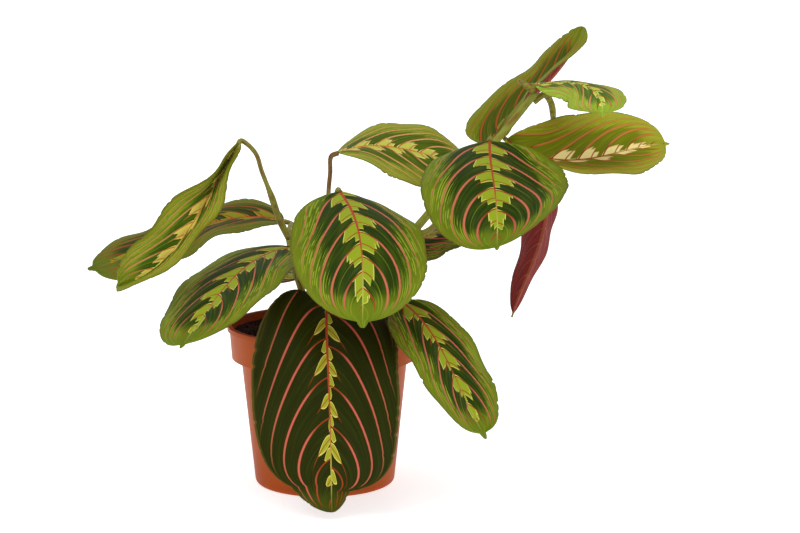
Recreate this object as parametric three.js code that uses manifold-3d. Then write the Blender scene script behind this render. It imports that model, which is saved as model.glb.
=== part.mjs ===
// A prayer plant (maranta) in a plastic nursery pot, in millimetres, +Z up.
// The origin is the middle of the pot's base on the surface that it stands on, the plant's
// front faces -Y, and its long shoot leans towards +X.
import * as THREE from 'three';
import { mergeVertices } from 'three/addons/utils/BufferGeometryUtils.js';
import Module from 'manifold-3d';

const wasm = await Module();
wasm.setup();

// Driving dimensions
const CLEARANCE = 0.3;
const SEAT_CLEARANCE = 0.45;
const POT_SIDES = 36;
const POT = {
  height: 100, rimRadius: 60, lipDrop: 3, lipOverhang: 1.4, collarHeight: 20.5, collarFootRadius: 57.3,
  shoulderRadius: 51.6, baseRadius: 43.6, heelRadius: 3, edge: 0.6, wall: 1.4, floor: 2,
};
const POT_BASE = {
  padRadius: 14, ringWidth: 5, recess: 1.5, slope: 1,
  holes: 8, holeRadius: 4, holeSides: 12, holeCircle: 27,
};
const SOIL = { level: 95, relief: 1.6, rings: 5, flatRim: 3, holeSides: 12 };
const STEM = { sides: 8, steps: 14, footDepth: 36, collar: 3, seatPasses: 8 };
const PETIOLE = {
  sides: 6, steps: 10, radius: 1.25, sheathRadius: 2.1, sheathFade: 0.15,
  jointRadius: 1.5, jointStart: 0.85, jointFull: 0.95, approach: 5,
};
const BLADE = { rows: 18, columns: 8, thickness: 0.8, baseHalfWidth: 1.2, tipHalfWidth: 0.4, ribSteps: 64 };

// Each stem stands upright in its hole and then follows its points.
const STEMS = {
  left: {
    foot: [-8, -4], radius: [2.6, 2.1],
    points: [[-10, -4, 106], [-14, -5, 123], [-18, -5, 136], [-21, -7, 154]],
  },
  middle: { foot: [4, 5], radius: [2.5, 2], points: [[4.5, 4, 108], [5, 2, 130], [4, 1, 152]] },
  right: {
    foot: [17, 11], radius: [3, 2.2],
    points: [[18, 11, 107], [35, 10, 131], [61, 9, 163], [84, 12, 189], [108, 14, 214], [131, 16, 242]],
  },
};

// A leaf is a blade on its petiole. The blade starts at `base` and is `long` and `wide`.
// `heading` (from +X towards +Y), `pitch` (up is positive) and `roll` (left half up is positive)
// are the degrees of its midrib at the base, the middle and the tip. `fold` is how far each half
// stands up from flat at the base and the tip, and `curl` is how much further it turns by its
// margin. `opens` tells where a folded blade opens out, and otherwise it does so all along.
// `ruffle` is the height of its margin's waves where that isn't MARGIN.height.
// `full` and `widest` shape the outline, and `drip` is the tip's share of the length and width, or
// of the length, the left half's width and the right half's.
// The petiole starts on a stem, at its share of the length, or in the soil, and passes `via`.
const LEAVES = {
  left_high: {
    base: [-51, -19, 213], long: 123, wide: 43,
    heading: [246, 207, 145], pitch: [-31, -53, -13], roll: [-26, -45, -57],
    left: { fold: [67, 48], curl: -8 }, right: { fold: [77, 39], curl: 32 }, opens: [0.2, 0.45],
    full: 2.3, widest: 0.57, drip: [0.02, 0.15], ruffle: -2,
    petiole: {
      on: 'left', at: 1, sheath: 0.35,
      via: [[-27, -9, 167], [-31, -11, 180], [-37, -14, 197], [-40, -15, 207], [-45, -15, 213]],
    },
  },
  left_far: {
    base: [-27, 40, 158], long: 129, wide: 59,
    heading: [181, 190, 202], pitch: [16, -20, -10], roll: [-14, -15, -25],
    left: { fold: [13, -1], curl: -13 }, right: { fold: [20, 5], curl: -24 },
    full: 2.2, widest: 0.5, drip: [0.03, 0.1], ruffle: 2.5,
    petiole: { on: 'left', at: 0.93, sheath: 0.3, via: [[-22, 8, 155], [-22, 25, 157]] },
  },
  left_low: {
    base: [-19, -22, 151], long: 116, wide: 77,
    heading: [218, 238, 243], pitch: [1, -27, -30], roll: [4, 18, 30],
    left: { fold: [-4, -9], curl: -10 }, right: { fold: [9, 16], curl: -12 },
    full: 2.2, widest: 0.51, drip: [0.03, 0.05],
    petiole: { on: 'left', at: 0.58, sheath: 0.3, via: [[-17, -13, 146]] },
  },
  left_back: {
    base: [-17, 7, 126], long: 86, wide: 60,
    heading: [140, 134, 130], pitch: [5, -14, -14], roll: [0, -3, 0],
    left: { fold: [4, 4], curl: -13 }, right: { fold: [6, 6], curl: -11 },
    full: 2.3, widest: 0.47, drip: [0.04, 0.07],
    petiole: { on: 'left', at: 0.42, sheath: 0.3, via: [[-14, 4, 121]] },
  },
  centre: {
    base: [11, -30, 186], long: 120, wide: 83,
    heading: [-73, -82, -94], pitch: [-12, -30, -85], roll: [0, 12, 2],
    left: { fold: [-2, -21], curl: -28 }, right: { fold: [-4, -10], curl: -4 },
    full: 2.2, widest: 0.51, drip: [0.03, 0.09],
    petiole: { on: 'middle', at: 0.84, sheath: 0.3, via: [[5, -8, 160], [7, -17, 177]] },
  },
  front_hanging: {
    base: [3, -43, 120], long: 130, wide: 91,
    heading: [-91, -82, -87], pitch: [-26, -74, -74], roll: [-24, 17, -7],
    left: { fold: [15, 13], curl: 5 }, right: { fold: [24, 6], curl: -11 },
    full: 2.8, widest: 0.5, drip: [0.09, 0.24, 0.46],
    petiole: { on: 'soil', foot: [2, -20], sheath: 0.2, via: [[2, -22, 106], [2.5, -32, 121]] },
  },
  right_low: {
    base: [48, -52, 123], long: 103, wide: 59,
    heading: [-41, -52, -47], pitch: [-21, -48, -47], roll: [13, -12, -3],
    left: { fold: [-6, 8], curl: 5 }, right: { fold: [-5, 10], curl: -13 },
    full: 2.2, widest: 0.49, drip: [0.04, 0.08],
    petiole: { on: 'soil', foot: [21, -17], sheath: 0.2, via: [[23, -20, 104], [33, -34, 122]] },
  },
  top_middle: {
    base: [9, 10, 205], long: 89, wide: 53,
    heading: [22, 15, 19], pitch: [21, -13, -12], roll: [-1, 43, 40],
    left: { fold: [-12, 2], curl: -9 }, right: { fold: [9, 8], curl: -26 },
    full: 2.3, widest: 0.46, drip: [0.04, 0.04],
    petiole: { on: 'middle', at: 1, sheath: 0.3, via: [[3, 3, 181], [4, 6, 193]] },
  },
  right_round: {
    base: [102, 0, 213], long: 107, wide: 88,
    heading: [-94, -87, -95], pitch: [-19, -26, -56], roll: [-4, -9, 17],
    left: { fold: [-2, 13], curl: 12 }, right: { fold: [0, -3], curl: -32 },
    full: 2.2, widest: 0.5, drip: [0.02, 0.04],
    petiole: { on: 'right', at: 0.46, sheath: 0.25, via: [[66, 0, 159], [84, 2, 180], [98, 6, 204]] },
  },
  right_long: {
    base: [113, 19, 212], long: 118, wide: 59,
    heading: [-21, 28, 20], pitch: [-38, 5, -3], roll: [24, 28, 27],
    left: { fold: [38, 53], curl: -13 }, right: { fold: [24, -12], curl: 14 },
    full: 2, widest: 0.47, drip: [0.03, 0.05],
    petiole: { on: 'right', at: 0.83, sheath: 0.2, via: [] },
  },
  top_upright: {
    base: [104, 41, 206], long: 98, wide: 58,
    heading: [60, -9, 2], pitch: [47, 45, 72], roll: [22, 46, 46],
    left: { fold: [0, 8], curl: -22 }, right: { fold: [71, 50], curl: -36 }, opens: [0.65, 0.95],
    full: 2.3, widest: 0.39, drip: [0.05, 0.32, 0.5],
    petiole: { on: 'right', at: 0.76, sheath: 0.2, via: [[102, 27, 201]] },
  },
  top_young: {
    base: [129, -3, 248], long: 58, wide: 47,
    heading: [23, -20, -96], pitch: [4, -12, -88], roll: [3, 0, 8],
    left: { fold: [-2, 6], curl: -16 }, right: { fold: [-5, -7], curl: -40 },
    full: 2.3, widest: 0.52, drip: [0.05, 0.06],
    petiole: { on: 'right', at: 1, sheath: 0.2, via: [[124, 12, 247], [120, 3, 250]] },
  },
  right_hanging: {
    base: [141, 35, 189], long: 108, wide: 47,
    heading: [87, 120, 142], pitch: [-87, -61, -72], roll: [-37, 11, 33],
    left: { fold: [56, 69], curl: 42 }, right: { fold: [37, 41], curl: 19 },
    full: 2.2, widest: 0.45, drip: [0.03, 0.06],
    petiole: { on: 'right', at: 0.94, sheath: 0.4, via: [[136, 20, 240], [141, 28, 234], [143, 37, 221]] },
  },
  middle_back: {
    base: [41, 18, 140], long: 68, wide: 44,
    heading: [28, 22, -10], pitch: [31, 11, 7], roll: [1, 6, 3],
    left: { fold: [-24, 0], curl: 2 }, right: { fold: [-20, 4], curl: -20 },
    full: 2.2, widest: 0.45, drip: [0.04, 0.1],
    petiole: { on: 'right', at: 0.25, sheath: 0.2, via: [[34, 17, 131]] },
  },
};

const MARGIN = { waves: 3, height: 1.1, offset: 0.2 };

// A drip tip widens towards the base over this many of its own lengths.
const DRIP_SPAN = 1.3;
// The least curl in degrees, as a blade's cross-section is worked out as an arc.
const LEAST_CURL = 0.01;
// Points closer together than this are one point.
const SAME_POINT = 1e-4;

const radians = THREE.MathUtils.degToRad;
const vector = (numbers) => new THREE.Vector3(...numbers);

// The value at share s of a length, from its values at the start, the middle and the end.
function along([start, middle, end], s) {
  return start * (1 - s) * (1 - 2 * s) + middle * 4 * s * (1 - s) + end * s * (2 * s - 1);
}

function headingVector(leaf, s) {
  const heading = radians(along(leaf.heading, s));
  const pitch = radians(along(leaf.pitch, s));
  const level = new THREE.Vector3(Math.cos(heading), Math.sin(heading), 0);
  return level.multiplyScalar(Math.cos(pitch)).setZ(Math.sin(pitch));
}

// The midrib's points, a step apart.
function midrib(leaf) {
  const step = leaf.long / BLADE.ribSteps;
  const points = [vector(leaf.base)];
  for (let i = 0; i < BLADE.ribSteps; i += 1) {
    const direction = headingVector(leaf, (i + 0.5) / BLADE.ribSteps);
    points.push(points[i].clone().addScaledVector(direction, step));
  }
  return points;
}

// The outline is a full oval, widest at its own share of the length, that ends in a drip tip.
function halfWidth(leaf, s, t) {
  const [tipLength, leftTip, rightTip = leftTip] = leaf.drip;
  const tipWidth = t < 0 ? rightTip : leftTip;
  const share = Math.min(s / (1 - tipLength), 1);
  const shifted = share ** (Math.log(0.5) / Math.log(leaf.widest));
  const oval = (1 - Math.abs(2 * shifted - 1) ** leaf.full) ** (1 / leaf.full);
  const tip = s > 0.5 ? tipWidth * Math.sqrt(Math.min((1 - s) / tipLength, DRIP_SPAN)) : 0;
  const least = s > 0.5 ? BLADE.tipHalfWidth : BLADE.baseHalfWidth;
  return Math.max(leaf.wide / 2 * Math.max(oval, tip), least);
}

// A point of the blade: s runs from base to tip, t from -1 at the right margin to 1 at the left
// one, and lift is the height above the blade's middle surface.
function bladePoint(leaf, rib, s, t, lift) {
  const place = s * BLADE.ribSteps;
  const before = Math.min(Math.floor(place), BLADE.ribSteps - 1);
  const point = rib[before].clone().lerp(rib[before + 1], place - before);
  const forward = headingVector(leaf, s);
  const heading = radians(along(leaf.heading, s));
  const level = new THREE.Vector3(-Math.sin(heading), Math.cos(heading), 0);
  const roll = radians(along(leaf.roll, s));
  const leftward = level.applyAxisAngle(forward, roll);
  const upward = forward.clone().cross(leftward);

  const side = t < 0 ? leaf.right : leaf.left;
  const opened = leaf.opens ? THREE.MathUtils.smoothstep(s, ...leaf.opens) : s;
  const start = radians(THREE.MathUtils.lerp(side.fold[0], side.fold[1], opened));
  const turn = radians(side.curl || LEAST_CURL);
  const angle = start + turn * Math.abs(t);
  const width = halfWidth(leaf, s, t);
  const phase = 2 * Math.PI * (MARGIN.waves * s + MARGIN.offset * Math.sign(t));
  const height = leaf.ruffle ?? MARGIN.height;
  const wave = height * t * t * Math.sin(Math.PI * s) * Math.sin(phase);
  const rise = wave + lift;
  let across = width / turn * (Math.sin(angle) - Math.sin(start));
  let up = width / turn * (Math.cos(start) - Math.cos(angle));
  if (t !== 0) {
    across -= rise * Math.sin(angle);
    up += rise * Math.cos(angle);
  } else {
    up += lift;
  }
  return point.addScaledVector(leftward, across * (t < 0 ? -1 : 1)).addScaledVector(upward, up);
}

// A closed mesh of shared vertices, with the faces that have shrunk to a line left out.
function closed(geometry) {
  geometry.deleteAttribute('normal');
  geometry.deleteAttribute('uv');
  const merged = mergeVertices(geometry, SAME_POINT);
  const index = merged.getIndex().array;
  const kept = [];
  for (let i = 0; i < index.length; i += 3) {
    const [a, b, c] = [index[i], index[i + 1], index[i + 2]];
    if (a !== b && b !== c && c !== a) kept.push(a, b, c);
  }
  merged.setIndex(kept);
  merged.clearGroups();
  return merged;
}

// A flat box of many fields, bent into the blade. The underside's fields are split along the
// same diagonals as the top's, so that the two stay the blade's thickness apart.
function bladeGeometry(leaf) {
  const box = new THREE.BoxGeometry(2, 1, 1, BLADE.columns, BLADE.rows, 1);
  const index = Array.from(box.getIndex().array);
  const underside = box.groups[5];
  for (let i = underside.start; i < underside.start + underside.count; i += 6) {
    const [a, b, d, , c] = index.slice(i, i + 6);
    index.splice(i, 6, a, b, c, a, c, d);
  }
  box.setIndex(index);
  const rib = midrib(leaf);
  const position = box.getAttribute('position');
  for (let i = 0; i < position.count; i += 1) {
    const s = (1 - Math.cos(Math.PI * (position.getY(i) + 0.5))) / 2;
    const point = bladePoint(leaf, rib, s, -position.getX(i), position.getZ(i) * BLADE.thickness);
    position.setXYZ(i, point.x, point.y, point.z);
  }
  return closed(box);
}

// A cylinder bent along a curve, with its radius at each share of the length.
function tubeGeometry(curve, radiusAt, sides, steps) {
  const cylinder = new THREE.CylinderGeometry(1, 1, 1, sides, steps);
  const frames = curve.computeFrenetFrames(steps, false);
  const position = cylinder.getAttribute('position');
  for (let i = 0; i < position.count; i += 1) {
    const share = Math.min(Math.max(position.getY(i) + 0.5, 0), 1);
    const step = Math.round(share * steps);
    const radius = radiusAt(share);
    const point = curve.getPointAt(share);
    point.addScaledVector(frames.normals[step], position.getX(i) * radius);
    point.addScaledVector(frames.binormals[step], -position.getZ(i) * radius);
    position.setXYZ(i, point.x, point.y, point.z);
  }
  return closed(cylinder);
}

// The points that keep the buried foot of a stem or stalk upright in its hole.
function uprightFoot([x, y]) {
  const heights = [SOIL.level - STEM.footDepth, SOIL.level - STEM.footDepth / 2, SOIL.level + STEM.collar];
  return heights.map((z) => new THREE.Vector3(x, y, z));
}

function stemCurve(stem) {
  return new THREE.CatmullRomCurve3([...uprightFoot(stem.foot), ...stem.points.map(vector)]);
}

// The gap between a stem and the corners of the end face of a petiole that starts beside it.
function gapAtSeat(stem, share, curve) {
  const axis = stemCurve(stem);
  const centre = axis.getPointAt(share);
  const tangent = axis.getTangentAt(share);
  const frames = curve.computeFrenetFrames(PETIOLE.steps, false);
  let nearest = Infinity;
  for (let i = 0; i < PETIOLE.sides; i += 1) {
    const turn = 2 * Math.PI * i / PETIOLE.sides;
    const corner = curve.getPointAt(0);
    corner.addScaledVector(frames.normals[0], PETIOLE.sheathRadius * Math.sin(turn));
    corner.addScaledVector(frames.binormals[0], -PETIOLE.sheathRadius * Math.cos(turn));
    nearest = Math.min(nearest, corner.sub(centre).cross(tangent).length());
  }
  return nearest - THREE.MathUtils.lerp(stem.radius[0], stem.radius[1], share);
}

// A petiole's curve from the stem that carries it. It starts far enough from the stem's middle
// for its end face to be just clear.
function curveFromStem(stem, share, points) {
  const axis = stemCurve(stem);
  const direction = points[0].clone().sub(axis.getPointAt(share)).normalize();
  const sine = direction.clone().cross(axis.getTangentAt(share)).length();
  const curveAt = (reach) => {
    const start = axis.getPointAt(share).addScaledVector(direction, reach);
    return new THREE.CatmullRomCurve3([start, ...points]);
  };
  if (share === 1) return curveAt(CLEARANCE + PETIOLE.sheathRadius * sine);
  let reach = stem.radius[0] + PETIOLE.sheathRadius;
  for (let pass = 0; pass < STEM.seatPasses; pass += 1) {
    reach += SEAT_CLEARANCE - gapAtSeat(stem, share, curveAt(reach));
  }
  return curveAt(reach);
}

function petioleCurve(leaf) {
  const { on, at, foot, via } = leaf.petiole;
  const forward = headingVector(leaf, 0);
  const end = vector(leaf.base).addScaledVector(forward, -CLEARANCE);
  const before = vector(leaf.base).addScaledVector(forward, -PETIOLE.approach);
  const middle = [...via.map(vector), before];
  if (on === 'soil') {
    return new THREE.CatmullRomCurve3([...uprightFoot(foot), ...middle, end]);
  }
  return curveFromStem(STEMS[on], at, [...middle, end]);
}

// The sheath is the thick foot of a petiole and the joint is the swelling below the blade.
function petioleRadius(leaf, share) {
  const { sheath } = leaf.petiole;
  const fade = THREE.MathUtils.smoothstep(share, sheath, sheath + PETIOLE.sheathFade);
  const swell = THREE.MathUtils.smoothstep(share, PETIOLE.jointStart, PETIOLE.jointFull);
  const stalk = THREE.MathUtils.lerp(PETIOLE.sheathRadius, PETIOLE.radius, fade);
  return THREE.MathUtils.lerp(stalk, PETIOLE.jointRadius, swell);
}

function manifoldOf(geometry) {
  const mesh = new wasm.Mesh({
    numProp: 3,
    vertProperties: new Float32Array(geometry.getAttribute('position').array),
    triVerts: new Uint32Array(geometry.getIndex().array),
  });
  return new wasm.Manifold(mesh);
}

function geometryOf(manifold) {
  const mesh = manifold.getMesh();
  const geometry = new THREE.BufferGeometry();
  const positions = new Float32Array(mesh.vertProperties);
  geometry.setAttribute('position', new THREE.BufferAttribute(positions, 3));
  geometry.setIndex(Array.from(mesh.triVerts));
  return geometry;
}

// A body turned about the vertical axis from a profile of [radius, height] points.
function turned(profile) {
  const lathe = new THREE.LatheGeometry(profile.map(([r, z]) => new THREE.Vector2(r, z)), POT_SIDES);
  lathe.rotateX(Math.PI / 2);
  return closed(lathe);
}

function upright(radius, sides, x, y, bottom, top) {
  const cylinder = new THREE.CylinderGeometry(radius, radius, top - bottom, sides);
  cylinder.rotateX(Math.PI / 2);
  cylinder.translate(x, y, (bottom + top) / 2);
  return manifoldOf(closed(cylinder));
}

const collarFoot = POT.height - POT.collarHeight;
const shelfTop = collarFoot + POT.wall;
const lipFoot = POT.height - POT.lipDrop;
const collarTopRadius = POT.rimRadius - POT.lipOverhang;
const floorTop = POT_BASE.recess + POT.floor;
const heelTop = floorTop + POT.heelRadius;

function potGeometry() {
  const footRadius = POT.baseRadius - POT.heelRadius;
  const ringInside = footRadius - POT_BASE.ringWidth;
  const heelCorner = POT.heelRadius * (1 - Math.SQRT1_2);
  const outside = [
    [0, 0],
    [POT_BASE.padRadius, 0],
    [POT_BASE.padRadius + POT_BASE.slope, POT_BASE.recess],
    [ringInside - POT_BASE.slope, POT_BASE.recess],
    [ringInside, 0],
    [footRadius, 0],
    [POT.baseRadius - heelCorner, heelCorner],
    [POT.baseRadius, POT.heelRadius],
    [POT.shoulderRadius, collarFoot],
    [POT.collarFootRadius - POT.edge, collarFoot],
    [POT.collarFootRadius, collarFoot + POT.edge],
    [collarTopRadius, lipFoot],
    [POT.rimRadius, lipFoot + POT.edge],
    [POT.rimRadius, POT.height - POT.edge],
    [POT.rimRadius - POT.edge, POT.height],
  ];
  const inside = [
    [collarTopRadius - POT.wall + POT.edge / 2, POT.height],
    [collarTopRadius - POT.wall, lipFoot],
    [POT.collarFootRadius - POT.wall, shelfTop],
    [POT.shoulderRadius - POT.wall, shelfTop],
    [POT.baseRadius - POT.wall, heelTop],
    [footRadius, floorTop],
    [0, floorTop],
  ];
  let pot = manifoldOf(turned([...outside, ...inside]));
  for (let i = 0; i < POT_BASE.holes; i += 1) {
    const turn = 2 * Math.PI * (i + 0.5) / POT_BASE.holes;
    const x = POT_BASE.holeCircle * Math.cos(turn);
    const y = POT_BASE.holeCircle * Math.sin(turn);
    pot = pot.subtract(upright(POT_BASE.holeRadius, POT_BASE.holeSides, x, y, -1, floorTop + 1));
  }
  return geometryOf(pot);
}

// Low crumbs and hollows of the potting mix.
function soilRelief(x, y) {
  const broad = Math.sin(0.13 * x + 0.7) * Math.cos(0.11 * y - 0.4);
  const fine = Math.sin(0.31 * x + 0.17 * y) * Math.cos(0.27 * y - 0.12 * x);
  return SOIL.relief * (0.6 * broad + 0.4 * fine);
}

function soilGeometry(feet) {
  const { mapLinear } = THREE.MathUtils;
  const gap = POT.wall + CLEARANCE;
  const bodyAt = (z) => mapLinear(z, heelTop, shelfTop, POT.baseRadius, POT.shoulderRadius) - gap;
  const collarAt = (z) => mapLinear(z, shelfTop, lipFoot, POT.collarFootRadius, collarTopRadius) - gap;
  const shelf = shelfTop + CLEARANCE;
  const bottom = floorTop + CLEARANCE;
  const rim = collarAt(SOIL.level);
  const profile = [
    [0, bottom],
    [POT.baseRadius - POT.heelRadius - CLEARANCE, bottom],
    [bodyAt(heelTop), heelTop + CLEARANCE],
    [bodyAt(shelf), shelf],
    [collarAt(shelf), shelf],
    [rim, SOIL.level],
  ];
  const crumbRadius = rim - SOIL.flatRim;
  for (let ring = SOIL.rings; ring >= 0; ring -= 1) {
    profile.push([crumbRadius * ring / SOIL.rings, SOIL.level]);
  }
  const geometry = turned(profile);
  const position = geometry.getAttribute('position');
  for (let i = 0; i < position.count; i += 1) {
    const [x, y, z] = [position.getX(i), position.getY(i), position.getZ(i)];
    const isCrumb = z > shelf + 1 && Math.hypot(x, y) < rim - SOIL.flatRim / 2;
    if (isCrumb) position.setZ(i, z + soilRelief(x, y));
  }
  let soil = manifoldOf(geometry);
  for (const { foot, radius } of feet) {
    const holeRadius = (radius + CLEARANCE) / Math.cos(Math.PI / SOIL.holeSides);
    const holeFoot = SOIL.level - STEM.footDepth - CLEARANCE;
    const aboveSoil = SOIL.level + 2 * SOIL.relief;
    soil = soil.subtract(upright(holeRadius, SOIL.holeSides, foot[0], foot[1], holeFoot, aboveSoil));
  }
  return geometryOf(soil);
}

const MATERIALS = {
  pot: { color: 0xb8552f, roughness: 0.42, metalness: 0 },
  soil: { color: 0x2a1a14, roughness: 0.95, metalness: 0 },
  stem: { color: 0x8a8f3c, roughness: 0.5, metalness: 0 },
  petiole: { color: 0x84803a, roughness: 0.5, metalness: 0 },
  blade: { color: 0x4d6b22, roughness: 0.45, metalness: 0 },
};

const plant = new THREE.Group();

function addMesh(name, geometry, material) {
  geometry.computeVertexNormals();
  const mesh = new THREE.Mesh(geometry, new THREE.MeshStandardMaterial(MATERIALS[material]));
  mesh.name = name;
  plant.add(mesh);
}

const soilFeet = Object.values(STEMS).map((stem) => ({ foot: stem.foot, radius: stem.radius[0] }));
for (const { petiole } of Object.values(LEAVES)) {
  if (petiole.on === 'soil') soilFeet.push({ foot: petiole.foot, radius: PETIOLE.sheathRadius });
}

addMesh('pot', potGeometry(), 'pot');
addMesh('soil', soilGeometry(soilFeet), 'soil');

for (const [name, stem] of Object.entries(STEMS)) {
  const radiusAt = (share) => THREE.MathUtils.lerp(stem.radius[0], stem.radius[1], share);
  addMesh(`stem_${name}`, tubeGeometry(stemCurve(stem), radiusAt, STEM.sides, STEM.steps), 'stem');
}

for (const [name, leaf] of Object.entries(LEAVES)) {
  const radiusAt = (share) => petioleRadius(leaf, share);
  const petiole = tubeGeometry(petioleCurve(leaf), radiusAt, PETIOLE.sides, PETIOLE.steps);
  addMesh(`petiole_${name}`, petiole, 'petiole');
  addMesh(`blade_${name}`, bladeGeometry(leaf), 'blade');
}

export default plant;
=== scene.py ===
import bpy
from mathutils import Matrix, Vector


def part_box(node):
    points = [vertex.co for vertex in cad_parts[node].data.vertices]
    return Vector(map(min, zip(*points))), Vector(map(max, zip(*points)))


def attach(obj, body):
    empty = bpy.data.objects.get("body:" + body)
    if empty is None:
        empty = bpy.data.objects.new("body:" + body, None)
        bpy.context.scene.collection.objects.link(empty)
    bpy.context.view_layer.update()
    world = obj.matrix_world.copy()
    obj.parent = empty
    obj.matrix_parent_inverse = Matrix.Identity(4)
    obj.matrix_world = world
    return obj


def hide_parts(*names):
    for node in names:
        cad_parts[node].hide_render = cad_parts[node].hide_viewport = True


bl_info = {
    "name": "Potted Prayer Plant",
    "version": (1, 0, 0),
    "blender": (4, 5, 0),
    "location": "3D View > Sidebar > Plant",
    "description": "Dresses a potted prayer plant: patterned leaves, stalks, soil and pot",
    "category": "Object",
}

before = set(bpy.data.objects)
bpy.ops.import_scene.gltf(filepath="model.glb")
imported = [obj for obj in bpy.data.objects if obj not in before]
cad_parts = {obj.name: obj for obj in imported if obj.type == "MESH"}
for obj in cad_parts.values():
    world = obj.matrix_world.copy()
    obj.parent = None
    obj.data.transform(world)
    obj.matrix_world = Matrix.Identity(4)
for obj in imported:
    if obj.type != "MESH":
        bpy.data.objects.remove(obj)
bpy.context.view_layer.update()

import math
import random
from functools import partial, partialmethod, reduce
from types import SimpleNamespace

import bmesh
import bpy
from mathutils import Matrix, Vector, noise

MM = 0.001

# The pot, the soil and the stalks in millimetres, as the CAD part has them, except that the
# stalks and their joints are up to 0.15 mm thicker here, as the photo shows them.
CLEARANCE = 0.3
SEAT_CLEARANCE = 0.45
POT = {
    "height": 100, "rim_radius": 60, "lip_drop": 3, "lip_overhang": 1.4, "collar_height": 20.5,
    "collar_foot_radius": 57.3, "shoulder_radius": 51.6, "base_radius": 43.6, "heel_radius": 3,
    "wall": 1.4, "floor": 2,
}
POT_BASE = {
    "pad_radius": 14, "ring_width": 5, "recess": 1.5, "slope": 1,
    "holes": 8, "hole_radius": 4, "hole_circle": 27,
}
SOIL_LEVEL = 95
FOOT_DEPTH = 36
STEM_COLLAR = 3
SHEATH_RADIUS = 2.1
SHEATH_FADE = 0.15
STALK_RADIUS = 1.4
JOINT_RADIUS = 1.6
JOINT_START = 0.85
JOINT_FULL = 0.95
APPROACH = 5

# Steps between two points of a stem's and of a stalk's curve, the equal steps that a stem is cut
# into to find where a stalk leaves it, and how many of them to either side give its direction.
STEM_CURVE_STEPS = 60
STALK_CURVE_STEPS = 40
STEM_STEPS = 400
DIRECTION_STEPS = 2
# Points closer together than this, in millimetres, are one.
MERGE = 1e-3

# The pot's heel is cut into arcs of this many degrees. Edges that turn by more degrees than this
# are softened by a width in metres. The pins that cut the drainage holes are this many
# millimetres longer than the floor is high.
HEEL_TURN = 15
EDGE = {"width": 0.0006, "segments": 3, "sharper_than": 28}
PIN = {"sides": 24, "past_floor": 4}

# The soil in millimetres: its sloping edge and the calmer strip inside it, how close its lumps,
# grains and finest grains are, how high they are as shares, and the loose crumbs on top.
SOIL_EDGE = {"drop": 1, "width": 0.4, "calm": 3}
SOIL_GRAINS = (0.12, 0.45, 1.1)
SOIL_RELIEF = {"fine": 0.8, "finest": 0.6, "at_wall": 0.3}
CRUMB = {"seed": 5, "rise": 0.3, "size": (0.6, 1.6), "turn": 6, "width": (0.5, 1), "height": (0.4, 0.8)}

STEMS = {
    "left": {
        "foot": (-8, -4), "radius": (2.6, 2.1),
        "points": [(-10, -4, 106), (-14, -5, 123), (-18, -5, 136), (-21, -7, 154)],
    },
    "middle": {"foot": (4, 5), "radius": (2.5, 2), "points": [(4.5, 4, 108), (5, 2, 130), (4, 1, 152)]},
    "right": {
        "foot": (17, 11), "radius": (3, 2.2),
        "points": [(18, 11, 107), (35, 10, 131), (61, 9, 163), (84, 12, 189), (108, 14, 214),
                   (131, 16, 242)],
    },
}

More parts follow.
